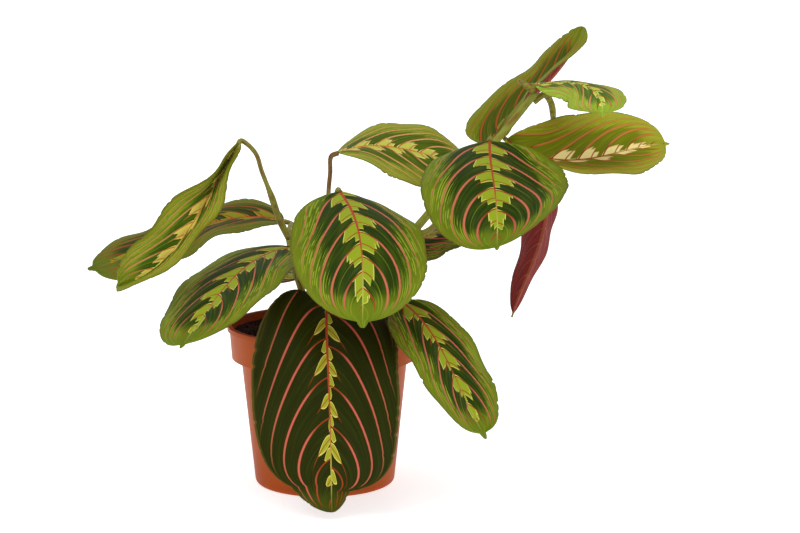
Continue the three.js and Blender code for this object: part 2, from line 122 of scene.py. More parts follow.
# A leaf as the CAD part has it: where its blade starts, how long and wide it is, the heading,
# pitch and roll in degrees at base, middle and tip, and how each half stands up and curls.
# A folded blade opens out between the two shares of its length that "opens" gives, and "ruffle"
# is the height of its margin's waves where that isn't MARGIN_HEIGHT.
LEAVES = {
    "left_high": {
        "base": (-51, -19, 213), "long": 123, "wide": 43,
        "heading": (246, 207, 145), "pitch": (-31, -53, -13), "roll": (-26, -45, -57),
        "left": ((67, 48), -8), "right": ((77, 39), 32), "opens": (0.2, 0.45),
        "full": 2.3, "widest": 0.57, "drip": (0.02, 0.15), "ruffle": -2,
        "on": "left", "at": 1, "sheath": 0.35,
        "via": [(-27, -9, 167), (-31, -11, 180), (-37, -14, 197), (-40, -15, 207), (-45, -15, 213)],
    },
    "left_far": {
        "base": (-27, 40, 158), "long": 129, "wide": 59,
        "heading": (181, 190, 202), "pitch": (16, -20, -10), "roll": (-14, -15, -25),
        "left": ((13, -1), -13), "right": ((20, 5), -24),
        "full": 2.2, "widest": 0.5, "drip": (0.03, 0.1), "ruffle": 2.5,
        "on": "left", "at": 0.93, "sheath": 0.3, "via": [(-22, 8, 155), (-22, 25, 157)],
    },
    "left_low": {
        "base": (-19, -22, 151), "long": 116, "wide": 77,
        "heading": (218, 238, 243), "pitch": (1, -27, -30), "roll": (4, 18, 30),
        "left": ((-4, -9), -10), "right": ((9, 16), -12),
        "full": 2.2, "widest": 0.51, "drip": (0.03, 0.05),
        "on": "left", "at": 0.58, "sheath": 0.3, "via": [(-17, -13, 146)],
    },
    "left_back": {
        "base": (-17, 7, 126), "long": 86, "wide": 60,
        "heading": (140, 134, 130), "pitch": (5, -14, -14), "roll": (0, -3, 0),
        "left": ((4, 4), -13), "right": ((6, 6), -11),
        "full": 2.3, "widest": 0.47, "drip": (0.04, 0.07),
        "on": "left", "at": 0.42, "sheath": 0.3, "via": [(-14, 4, 121)],
    },
    "centre": {
        "base": (11, -30, 186), "long": 120, "wide": 83,
        "heading": (-73, -82, -94), "pitch": (-12, -30, -85), "roll": (0, 12, 2),
        "left": ((-2, -21), -28), "right": ((-4, -10), -4),
        "full": 2.2, "widest": 0.51, "drip": (0.03, 0.09),
        "on": "middle", "at": 0.84, "sheath": 0.3, "via": [(5, -8, 160), (7, -17, 177)],
    },
    "front_hanging": {
        "base": (3, -43, 120), "long": 130, "wide": 91,
        "heading": (-91, -82, -87), "pitch": (-26, -74, -74), "roll": (-24, 17, -7),
        "left": ((15, 13), 5), "right": ((24, 6), -11),
        "full": 2.8, "widest": 0.5, "drip": (0.09, 0.24, 0.46),
        "on": "soil", "foot": (2, -20), "sheath": 0.2, "via": [(2, -22, 106), (2.5, -32, 121)],
    },
    "right_low": {
        "base": (48, -52, 123), "long": 103, "wide": 59,
        "heading": (-41, -52, -47), "pitch": (-21, -48, -47), "roll": (13, -12, -3),
        "left": ((-6, 8), 5), "right": ((-5, 10), -13),
        "full": 2.2, "widest": 0.49, "drip": (0.04, 0.08),
        "on": "soil", "foot": (21, -17), "sheath": 0.2, "via": [(23, -20, 104), (33, -34, 122)],
    },
    "top_middle": {
        "base": (9, 10, 205), "long": 89, "wide": 53,
        "heading": (22, 15, 19), "pitch": (21, -13, -12), "roll": (-1, 43, 40),
        "left": ((-12, 2), -9), "right": ((9, 8), -26),
        "full": 2.3, "widest": 0.46, "drip": (0.04, 0.04),
        "on": "middle", "at": 1, "sheath": 0.3, "via": [(3, 3, 181), (4, 6, 193)],
    },
    "right_round": {
        "base": (102, 0, 213), "long": 107, "wide": 88,
        "heading": (-94, -87, -95), "pitch": (-19, -26, -56), "roll": (-4, -9, 17),
        "left": ((-2, 13), 12), "right": ((0, -3), -32),
        "full": 2.2, "widest": 0.5, "drip": (0.02, 0.04),
        "on": "right", "at": 0.46, "sheath": 0.25,
        "via": [(66, 0, 159), (84, 2, 180), (98, 6, 204)],
    },
    "right_long": {
        "base": (113, 19, 212), "long": 118, "wide": 59,
        "heading": (-21, 28, 20), "pitch": (-38, 5, -3), "roll": (24, 28, 27),
        "left": ((38, 53), -13), "right": ((24, -12), 14),
        "full": 2, "widest": 0.47, "drip": (0.03, 0.05),
        "on": "right", "at": 0.83, "sheath": 0.2, "via": [],
    },
    "top_upright": {
        "base": (104, 41, 206), "long": 98, "wide": 58,
        "heading": (60, -9, 2), "pitch": (47, 45, 72), "roll": (22, 46, 46),
        "left": ((0, 8), -22), "right": ((71, 50), -36), "opens": (0.65, 0.95),
        "full": 2.3, "widest": 0.39, "drip": (0.05, 0.32, 0.5),
        "on": "right", "at": 0.76, "sheath": 0.2, "via": [(102, 27, 201)],
    },
    "top_young": {
        "base": (129, -3, 248), "long": 58, "wide": 47,
        "heading": (23, -20, -96), "pitch": (4, -12, -88), "roll": (3, 0, 8),
        "left": ((-2, 6), -16), "right": ((-5, -7), -40),
        "full": 2.3, "widest": 0.52, "drip": (0.05, 0.06),
        "on": "right", "at": 1, "sheath": 0.2, "via": [(124, 12, 247), (120, 3, 250)],
    },
    "right_hanging": {
        "base": (141, 35, 189), "long": 108, "wide": 47,
        "heading": (87, 120, 142), "pitch": (-87, -61, -72), "roll": (-37, 11, 33),
        "left": ((56, 69), 42), "right": ((37, 41), 19),
        "full": 2.2, "widest": 0.45, "drip": (0.03, 0.06),
        "on": "right", "at": 0.94, "sheath": 0.4,
        "via": [(136, 20, 240), (141, 28, 234), (143, 37, 221)],
    },
    "middle_back": {
        "base": (41, 18, 140), "long": 68, "wide": 44,
        "heading": (28, 22, -10), "pitch": (31, 11, 7), "roll": (1, 6, 3),
        "left": ((-24, 0), 2), "right": ((-20, 4), -20),
        "full": 2.2, "widest": 0.45, "drip": (0.04, 0.1),
        "on": "right", "at": 0.25, "sheath": 0.2, "via": [(34, 17, 131)],
    },
}
MARGIN_WAVES = 3
MARGIN_HEIGHT = 1.1
MARGIN_OFFSET = 0.2
# A drip tip widens towards the base over this many of its own lengths.
DRIP_SPAN = 1.3
# The least curl in degrees, as a blade's cross-section is worked out as an arc.
LEAST_CURL = 0.01
BASE_HALF_WIDTH = 1.2
TIP_HALF_WIDTH = 0.4
RIB_STEPS = 64

# The side veins leave the midrib one spacing apart, as shares of the length, and sweep towards
# the tip by VEIN_SWEEP of the length in all. A leaf's lean is the part of it that grows evenly
# with the distance out, and the rest grows with its square. The distance is a share of the
# blade's widest half at the base, and of the half's own width past VEIN_TURN.
FIRST_VEIN = 0.02
VEIN_LEAN = 0.17
VEIN_SWEEP = 0.7
VEIN_TURN = (0.1, 0.5)

# A leaf's looks: its colours from 0 to 255, and the numbers of its pattern. The half width of a
# vein is in millimetres, and the left offset is a share of the spacing. The other numbers are
# shares of the blade's length or half width, and leaflets is 1 where they take the lobes' place.
GREEN_LEAF = {
    "dark": (34, 52, 4), "green": (82, 102, 12), "margin": (106, 120, 22), "streak": (148, 164, 44),
    "lobe": (142, 158, 32), "lobe_edge": (208, 204, 96), "vein": (190, 106, 80),
    "inner_vein": (146, 58, 26), "midrib": (168, 70, 42), "lobe_reach": 0.25, "lobe_start": 0.0,
    "leaflets": 0.0, "dark_reach": 0.56, "spacing": 0.165, "lean": VEIN_LEAN, "vein_width": 0.64,
    "left_offset": 0.45, "nearer_tip": 0.0,
}
# Each leaf's chance starts from its own number, so that no two patterns are the same.
FIRST_SEED = 7.0
SEED_STEP = 3
LEAF_LOOKS = {
    # Its lobes and their edges are painted brighter than their own pale yellow, painted light that makes up
    # for the shade on its folded blade.
    "left_high": {
        "dark": (58, 90, 16), "green": (116, 138, 26), "margin": (122, 128, 30), "streak": (150, 166, 50),
        "lobe": (226, 206, 92), "lobe_edge": (236, 214, 116), "lobe_reach": 0.3, "inner_vein": (196, 118, 66),
        "midrib": (204, 146, 66), "vein": (206, 142, 90), "vein_width": 0.54, "dark_reach": 0.46,
        "spacing": 0.15,
    },
    "left_far": {"dark": (48, 56, 18), "green": (92, 100, 28), "lobe": (130, 128, 32),
                 "lobe_edge": (150, 138, 44), "margin": (96, 106, 26), "streak": (116, 122, 34),
                 "vein": (150, 76, 42), "vein_width": 0.6, "spacing": 0.15},
    "left_low": {"spacing": 0.16, "lobe_reach": 0.3, "vein_width": 0.5},
    "left_back": {"green": (70, 84, 30), "margin": (84, 96, 36)},
    "centre": {"spacing": 0.175, "dark_reach": 0.6, "left_offset": 0.5, "vein_width": 0.72},
    "front_hanging": {
        "dark": (36, 40, 4), "green": (52, 60, 8), "margin": (66, 74, 12), "streak": (66, 78, 12),
        "lobe": (156, 158, 40), "lobe_edge": (216, 198, 92), "vein": (196, 96, 78),
        "vein_width": 0.68, "leaflets": 1.0, "dark_reach": 1.1, "spacing": 0.185, "lean": 0.14,
        "left_offset": 0.8, "nearer_tip": 0.07,
    },
    "right_low": {"lobe_reach": 0.3, "spacing": 0.185, "left_offset": 0.95, "vein_width": 0.6},
    "top_middle": {"dark": (66, 88, 14), "green": (112, 126, 26), "margin": (142, 146, 48),
                   "streak": (150, 160, 60), "lobe": (186, 188, 76), "lobe_edge": (226, 214, 130),
                   "vein": (206, 152, 96), "inner_vein": (176, 96, 50), "midrib": (196, 110, 60)},
    "right_round": {"lobe_reach": 0.26, "dark_reach": 0.64, "spacing": 0.175, "left_offset": 0.9,
                    "vein_width": 0.76, "nearer_tip": 0.03},
    # Its pattern is its own, but the bright yellow-green of its ground is painted light shining through the
    # blade from behind.
    "right_long": {
        "dark": (108, 118, 12), "green": (142, 146, 22), "margin": (156, 156, 46),
        "streak": (164, 166, 52), "lobe": (244, 228, 150), "lobe_edge": (240, 192, 132),
        "vein": (190, 118, 60), "lobe_reach": 0.21, "lobe_start": 0.25, "spacing": 0.155, "vein_width": 0.76,
    },
    "top_upright": {"dark": (68, 78, 12), "green": (108, 114, 16), "margin": (120, 126, 32),
                    "vein": (156, 80, 34), "streak": (128, 136, 40), "lobe": (120, 122, 32),
                    "lobe_edge": (142, 134, 56), "lobe_reach": 0.12},
    "top_young": {
        "dark": (70, 96, 36), "green": (132, 158, 44), "margin": (140, 164, 48),
        "streak": (170, 190, 76), "lobe": (176, 194, 66), "lobe_edge": (206, 214, 110),
        "vein": (200, 142, 86), "vein_width": 0.6, "dark_reach": 0.5, "spacing": 0.16,
    },
    "right_hanging": {"green": (96, 120, 30)},
    "middle_back": {"green": (66, 82, 24), "margin": (84, 92, 30), "vein": (188, 84, 78)},
}


def colour(red, green, blue):
    """A picture colour from 0 to 255 as the linear colour that a shader takes."""
    def linear(value):
        share = value / 255
        return share / 12.92 if share <= 0.04045 else ((share + 0.055) / 1.055) ** 2.4
    return (linear(red), linear(green), linear(blue), 1.0)


def along(values, s):
    """The value at share s of a length, from its values at the start, the middle and the end."""
    start, middle, end = values
    return start * (1 - s) * (1 - 2 * s) + middle * 4 * s * (1 - s) + end * s * (2 * s - 1)


def lerp(start, end, share):
    return start + (end - start) * share


def smoothstep(value, start, end):
    share = min(max((value - start) / (end - start), 0), 1)
    return share * share * (3 - 2 * share)


def rib_direction(leaf, s):
    """Which way the midrib runs at share s of its length."""
    heading = math.radians(along(leaf["heading"], s))
    pitch = math.radians(along(leaf["pitch"], s))
    return Vector((
        math.cos(pitch) * math.cos(heading), math.cos(pitch) * math.sin(heading), math.sin(pitch)))


def midrib_points(leaf):
    points = [Vector(leaf["base"])]
    for step in range(RIB_STEPS):
        direction = rib_direction(leaf, (step + 0.5) / RIB_STEPS)
        points.append(points[-1] + direction * leaf["long"] / RIB_STEPS)
    return points


def half_width(leaf, s, t):
    """A full oval that ends in a drip tip, which may be wider on the right than on the left."""
    tip_length, left_tip, right_tip = (*leaf["drip"], leaf["drip"][1])[:3]
    tip_width = right_tip if t < 0 else left_tip
    share = min(s / (1 - tip_length), 1)
    shifted = share ** (math.log(0.5) / math.log(leaf["widest"]))
    oval = max(1 - abs(2 * shifted - 1) ** leaf["full"], 0) ** (1 / leaf["full"])
    tip = tip_width * math.sqrt(min((1 - s) / tip_length, DRIP_SPAN)) if s > 0.5 else 0
    least = TIP_HALF_WIDTH if s > 0.5 else BASE_HALF_WIDTH
    return max(leaf["wide"] / 2 * max(oval, tip), least)


def blade_point(leaf, rib, s, t, lift):
    """A point of the blade, from base to tip by s and from right to left margin by t."""
    place = s * RIB_STEPS
    before = min(int(place), RIB_STEPS - 1)
    point = rib[before].lerp(rib[before + 1], place - before)
    forward = rib_direction(leaf, s)
    heading = math.radians(along(leaf["heading"], s))
    level = Vector((-math.sin(heading), math.cos(heading), 0))
    roll = Matrix.Rotation(math.radians(along(leaf["roll"], s)), 3, forward)
    leftward = roll @ level
    upward = forward.cross(leftward)

    fold, curl = leaf["right"] if t < 0 else leaf["left"]
    side = (t > 0) - (t < 0)
    opened = smoothstep(s, *leaf["opens"]) if "opens" in leaf else s
    start = math.radians(lerp(fold[0], fold[1], opened))
    turn = math.radians(curl or LEAST_CURL)
    angle = start + turn * abs(t)
    width = half_width(leaf, s, t)
    phase = 2 * math.pi * (MARGIN_WAVES * s + MARGIN_OFFSET * side)
    wave = leaf.get("ruffle", MARGIN_HEIGHT) * t * t * math.sin(math.pi * s) * math.sin(phase)
    rise = wave + lift
    across = width / turn * (math.sin(angle) - math.sin(start))
    up = width / turn * (math.cos(start) - math.cos(angle))
    if side:
        across -= rise * math.sin(angle)
        up += rise * math.cos(angle)
    else:
        up += lift
    return point + leftward * (across * (-1 if t < 0 else 1)) + upward * up


def vein_phase(s, t, breadth, look):
    """How many side veins lie between the base and a point, the fraction included."""
    out = abs(t) * lerp(breadth, 1, smoothstep(s, *VEIN_TURN))
    origin = s - look["lean"] * out - (VEIN_SWEEP - look["lean"]) * out * out
    return (origin - FIRST_VEIN) / look["spacing"] + (look["left_offset"] if t > 0 else 0)


# Curves and tubes

def curve_points(points, per_span):
    """A centripetal curve through the points, as short steps."""
    ends = [points[0] * 2 - points[1], *points, points[-1] * 2 - points[-2]]
    steps = [points[0]]
    for before, start, end, after in zip(ends, ends[1:], ends[2:], ends[3:]):
        first = (start - before).length ** 0.5
        middle = (end - start).length ** 0.5
        last = (after - end).length ** 0.5
        leave = (start - before) / first - (end - before) / (first + middle) + (end - start) / middle
        arrive = (end - start) / middle - (after - start) / (middle + last) + (after - end) / last
        for step in range(1, per_span + 1):
            u = step / per_span
            steps.append(
                start * (2 * u ** 3 - 3 * u ** 2 + 1) + leave * middle * (u ** 3 - 2 * u ** 2 + u)
                + end * (3 * u ** 2 - 2 * u ** 3) + arrive * middle * (u ** 3 - u ** 2))
    return steps


def even_points(points, count):
    """The same line cut into equal lengths."""
    reached = [0.0]
    for start, end in zip(points, points[1:]):
        reached.append(reached[-1] + (end - start).length)
    even = []
    span = 0
    for step in range(count + 1):
        target = reached[-1] * step / count
        while span < len(points) - 2 and reached[span + 1] < target:
            span += 1
        share = (target - reached[span]) / (reached[span + 1] - reached[span])
        even.append(points[span].lerp(points[span + 1], share))
    return even


def upright_foot(foot):
    heights = (SOIL_LEVEL - FOOT_DEPTH, SOIL_LEVEL - FOOT_DEPTH / 2, SOIL_LEVEL + STEM_COLLAR)
    return [Vector((foot[0], foot[1], z)) for z in heights]


def stem_line(stem, count=STEM_STEPS):
    through = upright_foot(stem["foot"]) + [Vector(point) for point in stem["points"]]
    return even_points(curve_points(through, STEM_CURVE_STEPS), count)


def stalk_line(leaf, count):
    """The middle line of a leaf's stalk, from its stem or the soil to the blade."""
    forward = rib_direction(leaf, 0)
    base = Vector(leaf["base"])
    through = [Vector(point) for point in leaf["via"]]
    through += [base - forward * APPROACH, base - forward * CLEARANCE]
    if leaf["on"] == "soil":
        through = upright_foot(leaf["foot"]) + through
    else:
        stem = STEMS[leaf["on"]]
        line = stem_line(stem)
        at = leaf["at"]
        index = round(at * STEM_STEPS)
        place = line[index]
        before = line[max(index - DIRECTION_STEPS, 0)]
        after = line[min(index + DIRECTION_STEPS, STEM_STEPS)]
        tangent = (after - before).normalized()
        direction = (through[0] - place).normalized()
        sine = direction.cross(tangent).length
        if at == 1:
            reach = CLEARANCE + SHEATH_RADIUS * sine
        else:
            stem_radius = lerp(*stem["radius"], at)
            reach = (stem_radius + SEAT_CLEARANCE) / sine + SHEATH_RADIUS * math.sqrt(1 - sine * sine)
        through = [place + direction * reach] + through
    return even_points(curve_points(through, STALK_CURVE_STEPS), count)


def tube(name, line, radius_at, sides):
    """A closed tube along a line, from a grid that is rolled up. Its UV runs along and around."""
    steps = len(line) - 1
    bm = bmesh.new()
    uv = bm.loops.layers.uv.new("along")
    bmesh.ops.create_grid(bm, x_segments=sides, y_segments=steps, size=1)
    places = {vert: ((vert.co.x + 1) / 2, (vert.co.y + 1) / 2) for vert in bm.verts}
    for face in bm.faces:
        for loop in face.loops:
            around, share = places[loop.vert]
            loop[uv].uv = (share, around)

    tangents = []
    for step in range(steps + 1):
        step_vector = line[min(step + 1, steps)] - line[max(step - 1, 0)]
        tangents.append(step_vector.normalized())
    normal = tangents[0].orthogonal().normalized()
    normals = []
    for tangent in tangents:
        normal = (normal - tangent * normal.dot(tangent)).normalized()
        normals.append(normal)
    for vert, (around, share) in places.items():
        step = round(share * steps)
        turn = 2 * math.pi * around
        binormal = tangents[step].cross(normals[step])
        radius = radius_at(share)
        vert.co = line[step] + (normals[step] * math.cos(turn) + binormal * math.sin(turn)) * radius
    bmesh.ops.remove_doubles(bm, verts=bm.verts, dist=MERGE)
    rims = [edge for edge in bm.edges if edge.is_boundary]
    bmesh.ops.holes_fill(bm, edges=rims, sides=sides + 1)
    bmesh.ops.recalc_face_normals(bm, faces=bm.faces)
    for face in bm.faces:
        face.smooth = len(face.verts) == 4
    return make_piece(name, bm)


def make_piece(name, bm):
    """A piece from a shape in millimetres."""
    bmesh.ops.scale(bm, vec=(MM, MM, MM), verts=bm.verts)
    mesh = bpy.data.meshes.new(name)
    bm.to_mesh(mesh)
    bm.free()
    return add_object(name, mesh)


def add_object(name, data):
    added = bpy.data.objects.new(name, data)
    bpy.context.scene.collection.objects.link(added)
    return added


def place_piece(piece, node, materials):
    for material in materials:
        piece.data.materials.append(material)
    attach(piece, "root")
    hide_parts(node)


# Materials

class Wiring:
    """Adds nodes to a tree and joins them. Each value may be a number, a colour or a socket."""

    def __init__(self, tree):
        self.tree = tree

    def node(self, kind, **settings):
        node = self.tree.nodes.new(kind)
        for name, value in settings.items():
            setattr(node, name, value)
        return node

    def put(self, socket, value):
        if isinstance(value, bpy.types.NodeSocket):
            self.tree.links.new(value, socket)
        else:
            socket.default_value = value

    def output(self, kind, wanted, values, **settings):
        """Adds a node, puts the values into its sockets and gives back the output that is wanted."""
        node = self.node(kind, **settings)
        for key, value in values.items():
            self.put(node.inputs[key], value)
        return node.outputs[wanted]

    def compute(self, operation, *values):
        return self.output("ShaderNodeMath", 0, dict(enumerate(values)), operation=operation)

    less = partialmethod(compute, "SUBTRACT")
    over = partialmethod(compute, "DIVIDE")
    least = partialmethod(compute, "MINIMUM")
    most = partialmethod(compute, "MAXIMUM")
    size = partialmethod(compute, "ABSOLUTE")
    whole = partialmethod(compute, "FLOOR")
    fraction = partialmethod(compute, "FRACT")

    def add(self, *values):
        return reduce(partial(self.compute, "ADD"), values)

    def times(self, *values):
        return reduce(partial(self.compute, "MULTIPLY"), values)

    def rest(self, share):
        return self.less(1.0, share)

    def from_middle(self, value, share):
        """How far a value from 0 to 1 lies above or below its middle, times the share."""
        return self.times(self.less(value, 0.5), share)

    def fade(self, value, start, end):
        """0 before start and 1 after end, with a smooth change between them."""
        sockets = {"Value": value, "From Min": start, "From Max": end}
        return self.output("ShaderNodeMapRange", "Result", sockets, interpolation_type="SMOOTHSTEP")

    def fall(self, value, start, end):
        """1 before start and 0 after end."""
        return self.rest(self.fade(value, start, end))

    def stroke(self, distance, half_width, softness):
        """1 on a line and 0 beside it, from the distance to its middle."""
        return self.fall(distance, self.less(half_width, softness), self.add(half_width, softness))

    def blend(self, factor, a, b):
        """From number a to number b."""
        return self.output("ShaderNodeMix", 0, {0: factor, 2: a, 3: b}, data_type="FLOAT")

    def tint(self, factor, a, b):
        """From colour a to colour b."""
        return self.output("ShaderNodeMix", 2, {0: factor, 6: a, 7: b}, data_type="RGBA")

    def point(self, x, y, z=0.0):
        return self.output("ShaderNodeCombineXYZ", 0, {0: x, 1: y, 2: z})

    def uv(self, name):
        """The first and the second coordinate of a UV map."""
        parts = self.node("ShaderNodeSeparateXYZ")
        self.put(parts.inputs[0], self.node("ShaderNodeUVMap", uv_map=name).outputs[0])
        return parts.outputs[0], parts.outputs[1]

    def grain(self, place, detail, scale=1.0):
        sockets = {"Vector": place, "Scale": scale, "Detail": detail}
        return self.output("ShaderNodeTexNoise", "Fac", sockets, noise_dimensions="3D")

    def chance(self, value):
        """A random number from 0 to 1 that belongs to the value."""
        return self.output("ShaderNodeTexWhiteNoise", "Value", {"W": value}, noise_dimensions="1D")


class Finish(Wiring):
    """The wiring of a new material."""

    def __init__(self, name):
        self.material = bpy.data.materials.new(name)
        self.material.use_nodes = True
        super().__init__(self.material.node_tree)

    def dress(self, skin, relief, distance, strength, roughness, specular):
        """Gives the material its colour, a relief of this depth in metres, and its shine."""
        inputs = self.tree.nodes["Principled BSDF"].inputs
        sockets = {"Height": relief, "Distance": distance, "Strength": strength}
        self.put(inputs["Base Color"], skin)
        self.put(inputs["Normal"], self.output("ShaderNodeBump", "Normal", sockets))
        inputs["Roughness"].default_value = roughness
        inputs["Specular IOR Level"].default_value = specular
        return self.material


# The pattern of a blade. A pair of numbers is where a change starts and where it ends. Places
# along the blade are shares of its length, places out from the midrib are shares of the half's
# width there, and the edges and half widths of lines are in millimetres.
LEAF_NUMBERS = (
    "Spacing", "Lean", "Left offset", "Vein width", "Lobe reach", "Lobe start", "Leaflets", "Dark reach",
    "Nearer tip")
LEAF_COLOURS = (
    "Dark", "Green", "Margin", "Streak", "Lobe", "Lobe edge", "Vein", "Inner vein", "Midrib")
LEAST_SHARE = 0.01
LEAST_BREADTH = 0.05
# The count of the veins starts here, so that it is above zero in front of the first one.
FIRST_COUNT = 20.0
# Steps between the numbers that chance is asked for, so that no two cells or parts share one.
KEYS = {"left": 31.0, "other": 0.37, "leaflet": 5.3, "streak": 7.0}
# A lobe's outline has coarse teeth on its side and small notches at its end.
LOBE = {
    "grows": (0.0, 0.12), "first": 0.7, "shrinks": (0.5, 0.92), "last": 0.3,
    "reach": 0.85, "reach_luck": 0.3, "teeth": 1.7, "side": 0.76, "slant": 0.24, "tooth": 0.26,
    "notches": 1.3, "least_reach": 0.02, "length": 0.6, "length_luck": 0.12, "notch": 0.24,
    "outside": -2.0, "starts": 0.03, "ends": (0.87, 0.9), "outline": (-0.1, 0.15),
    "pale_edge": (0.3, 0.95), "strip": 1.3, "strip_edge": (0.0, 0.3),
}
LEAFLET = {
    "in_cell": 3.0, "slant": 3.4, "side": 0.085, "side_luck": (0.35, 0.9), "middle": 0.11,
    "middle_luck": 0.09, "foot": 0.2, "half_width": 0.48, "line": (0.15, 0.4), "line_ends": (1.1, 1.5),
}
# How fine each grain is along the blade, per millimetre, and out to the margin, and its detail.
GRAINS = {"fine": (1.0, 2.4, 1.0), "hair": (3.2, 4.0, 2.0), "broad": (0.35, 3.0, 1.0)}
PATCH = {
    "fine": 0.65, "hair": 0.25, "luck": 0.14, "inside": 0.03, "outside": 0.05, "tip_ragged": 0.2,
    "tip": (0.8, 0.88), "paler": 0.4, "cloud": (0.35, 0.8),
}
STREAK = {
    "in_cell": 5, "waver": 0.8, "line": (0.14, 0.32), "next": 1.7, "dash": 0.09, "dashes": (0.42, 0.52),
    "ragged": 0.5, "starts": (0.2, 0.4), "ends": (0.8, 0.95), "strength": 0.85,
}
MARGIN = {
    "tint": (0.62, 0.98), "tip": (0.8, 0.92), "tip_strength": 0.7,
    "rim": (0.96, 0.985), "rim_strength": 0.6, "rim_colour": (96, 84, 34),
}
FINE_VEIN = {
    "line": (0.2, 0.6), "ends": (0.75, 1.1), "strength": 0.85,
    "long": 0.5, "long_line": (0.05, 0.3), "long_ends": (0.3, 0.6), "long_strength": 0.4,
}
VEIN = {
    "past_lobes": (0.55, 1.2), "near_rib": 0.6, "narrows": (0.5, 0.95), "at_margin": 0.55,
    "softness": 0.18, "ends": (0.82, 0.97), "tip": (0.87, 0.94), "core": (0.35, 1.0), "edge": 0.55,
    "margin_tint": 0.5,
}
RIB = {
    "narrows": (0.0, 0.8), "half_width": (0.9, 0.35), "softness": 0.2, "ends": (0.85, 0.97), "end": 0.8,
    "pales": (0.55, 0.85), "green": 0.4,
}
RELIEF = {"grain": 0.5, "vein": 0.7}


def place_on_blade(w):
    """Where a point lies: s along the blade, out across its half, and x out in shares of the
    widest half. The functions after this one add what they find to the same place."""
    s, across = w.uv("blade")
    t = w.less(w.times(across, 2.0), 1.0)
    out = w.size(t)
    breadth = w.most(w.uv("breadth")[0], LEAST_BREADTH)
    is_left = w.compute("GREATER_THAN", t, 0.0)
    return SimpleNamespace(s=s, out=out, is_left=is_left, breadth=breadth, x=w.times(out, breadth))


def find_cell(w, given, at):
    """Finds which two side veins the point lies between, and how far in millimetres from them."""
    turned = w.fade(at.s, *VEIN_TURN)
    across = w.times(at.out, w.blend(turned, at.breadth, 1.0))
    bend = w.less(VEIN_SWEEP, given["Lean"])
    at.sweep = w.times(across, w.add(given["Lean"], w.times(bend, across)))
    at.origin = w.less(at.s, at.sweep)
    phase = w.over(w.less(at.origin, FIRST_VEIN), given["Spacing"])
    phase = w.add(phase, w.times(at.is_left, given["Left offset"]), FIRST_COUNT)
    at.share = w.fraction(phase)
    at.key = w.add(w.whole(phase), w.times(at.is_left, KEYS["left"]), given["Seed"])
    at.luck = w.chance(at.key)
    at.other_luck = w.chance(w.add(at.key, KEYS["other"]))
    slant = w.add(given["Lean"], w.times(bend, across, 2.0))
    stretch = w.times(slant, 2.0, w.over(given["Length"], given["Width"]))
    stretch = w.over(stretch, w.blend(turned, 1.0, at.breadth))
    slope = w.compute("SQRT", w.add(1.0, w.times(stretch, stretch)))
    at.cell = w.over(w.times(given["Spacing"], given["Length"]), slope)
    at.before_vein = w.times(w.rest(at.share), at.cell)
    at.from_vein = w.least(w.times(at.share, at.cell), at.before_vein)
    # Some leaves have their dark patches and veins nearer to the tip
    at.s_end = w.less(at.s, given["Nearer tip"])


def lobe_gap(w, given, at):
    """How far inside a jagged lobe the point lies. A lobe runs out, and back to the next vein."""
    spacing = given["Spacing"]
    grown = w.blend(w.fade(at.s, *LOBE["grows"]), LOBE["first"], 1.0)
    shrunk = w.blend(w.fade(at.s, *LOBE["shrinks"]), 1.0, LOBE["last"])
    own = w.add(LOBE["reach"], w.times(at.luck, LOBE["reach_luck"]))
    reach = w.times(given["Lobe reach"], w.times(grown, shrunk), own)
    at.along_lobe = w.over(at.x, w.most(reach, LEAST_SHARE))
    teeth = w.fraction(w.add(w.times(at.share, LOBE["teeth"]), at.luck))
    outer = w.add(LOBE["side"], w.times(at.share, LOBE["slant"]), w.times(teeth, LOBE["tooth"]))
    side_gap = w.times(w.less(w.times(reach, outer), at.x), w.times(given["Width"], 0.5))
    notches = w.times(w.over(at.x, w.most(reach, LOBE["least_reach"])), LOBE["notches"])
    notches = w.fraction(w.add(notches, at.other_luck))
    length = w.add(LOBE["length"], w.times(at.other_luck, LOBE["length_luck"]))
    length = w.add(length, w.times(notches, LOBE["notch"]))
    end_gap = w.less(w.times(spacing, length), w.add(w.times(at.share, spacing), at.sweep))
    return w.least(w.times(end_gap, given["Length"]), side_gap)


def leaflet_gap(w, at):
    """How far inside a small pointed leaflet the point lies, the middle one the longest."""
    slanted = w.less(w.times(at.share, LEAFLET["in_cell"]), w.times(at.x, LEAFLET["slant"]))
    at.leaflet_side = w.size(w.less(w.fraction(slanted), 0.5))
    at.is_middle = w.compute("LESS_THAN", w.size(w.less(slanted, LEAFLET["in_cell"] / 2)), 0.5)
    luck = w.chance(w.add(at.key, w.times(w.whole(slanted), KEYS["leaflet"])))
    side = w.times(LEAFLET["side"], w.fade(luck, *LEAFLET["side_luck"]))
    middle = w.add(LEAFLET["middle"], w.times(luck, LEAFLET["middle_luck"]))
    reach = w.most(w.blend(at.is_middle, side, middle), LEAST_SHARE)
    at.along_leaflet = w.over(at.x, reach)
    past_foot = w.times(w.least(at.along_leaflet, 1.0), 1 - LEAFLET["foot"])
    belly = w.compute("SINE", w.times(w.add(LEAFLET["foot"], past_foot), math.pi))
    inside = w.less(w.times(belly, LEAFLET["half_width"]), at.leaflet_side)
    inside = w.least(inside, w.rest(at.along_leaflet))
    return w.times(inside, w.over(at.cell, LEAFLET["in_cell"]))


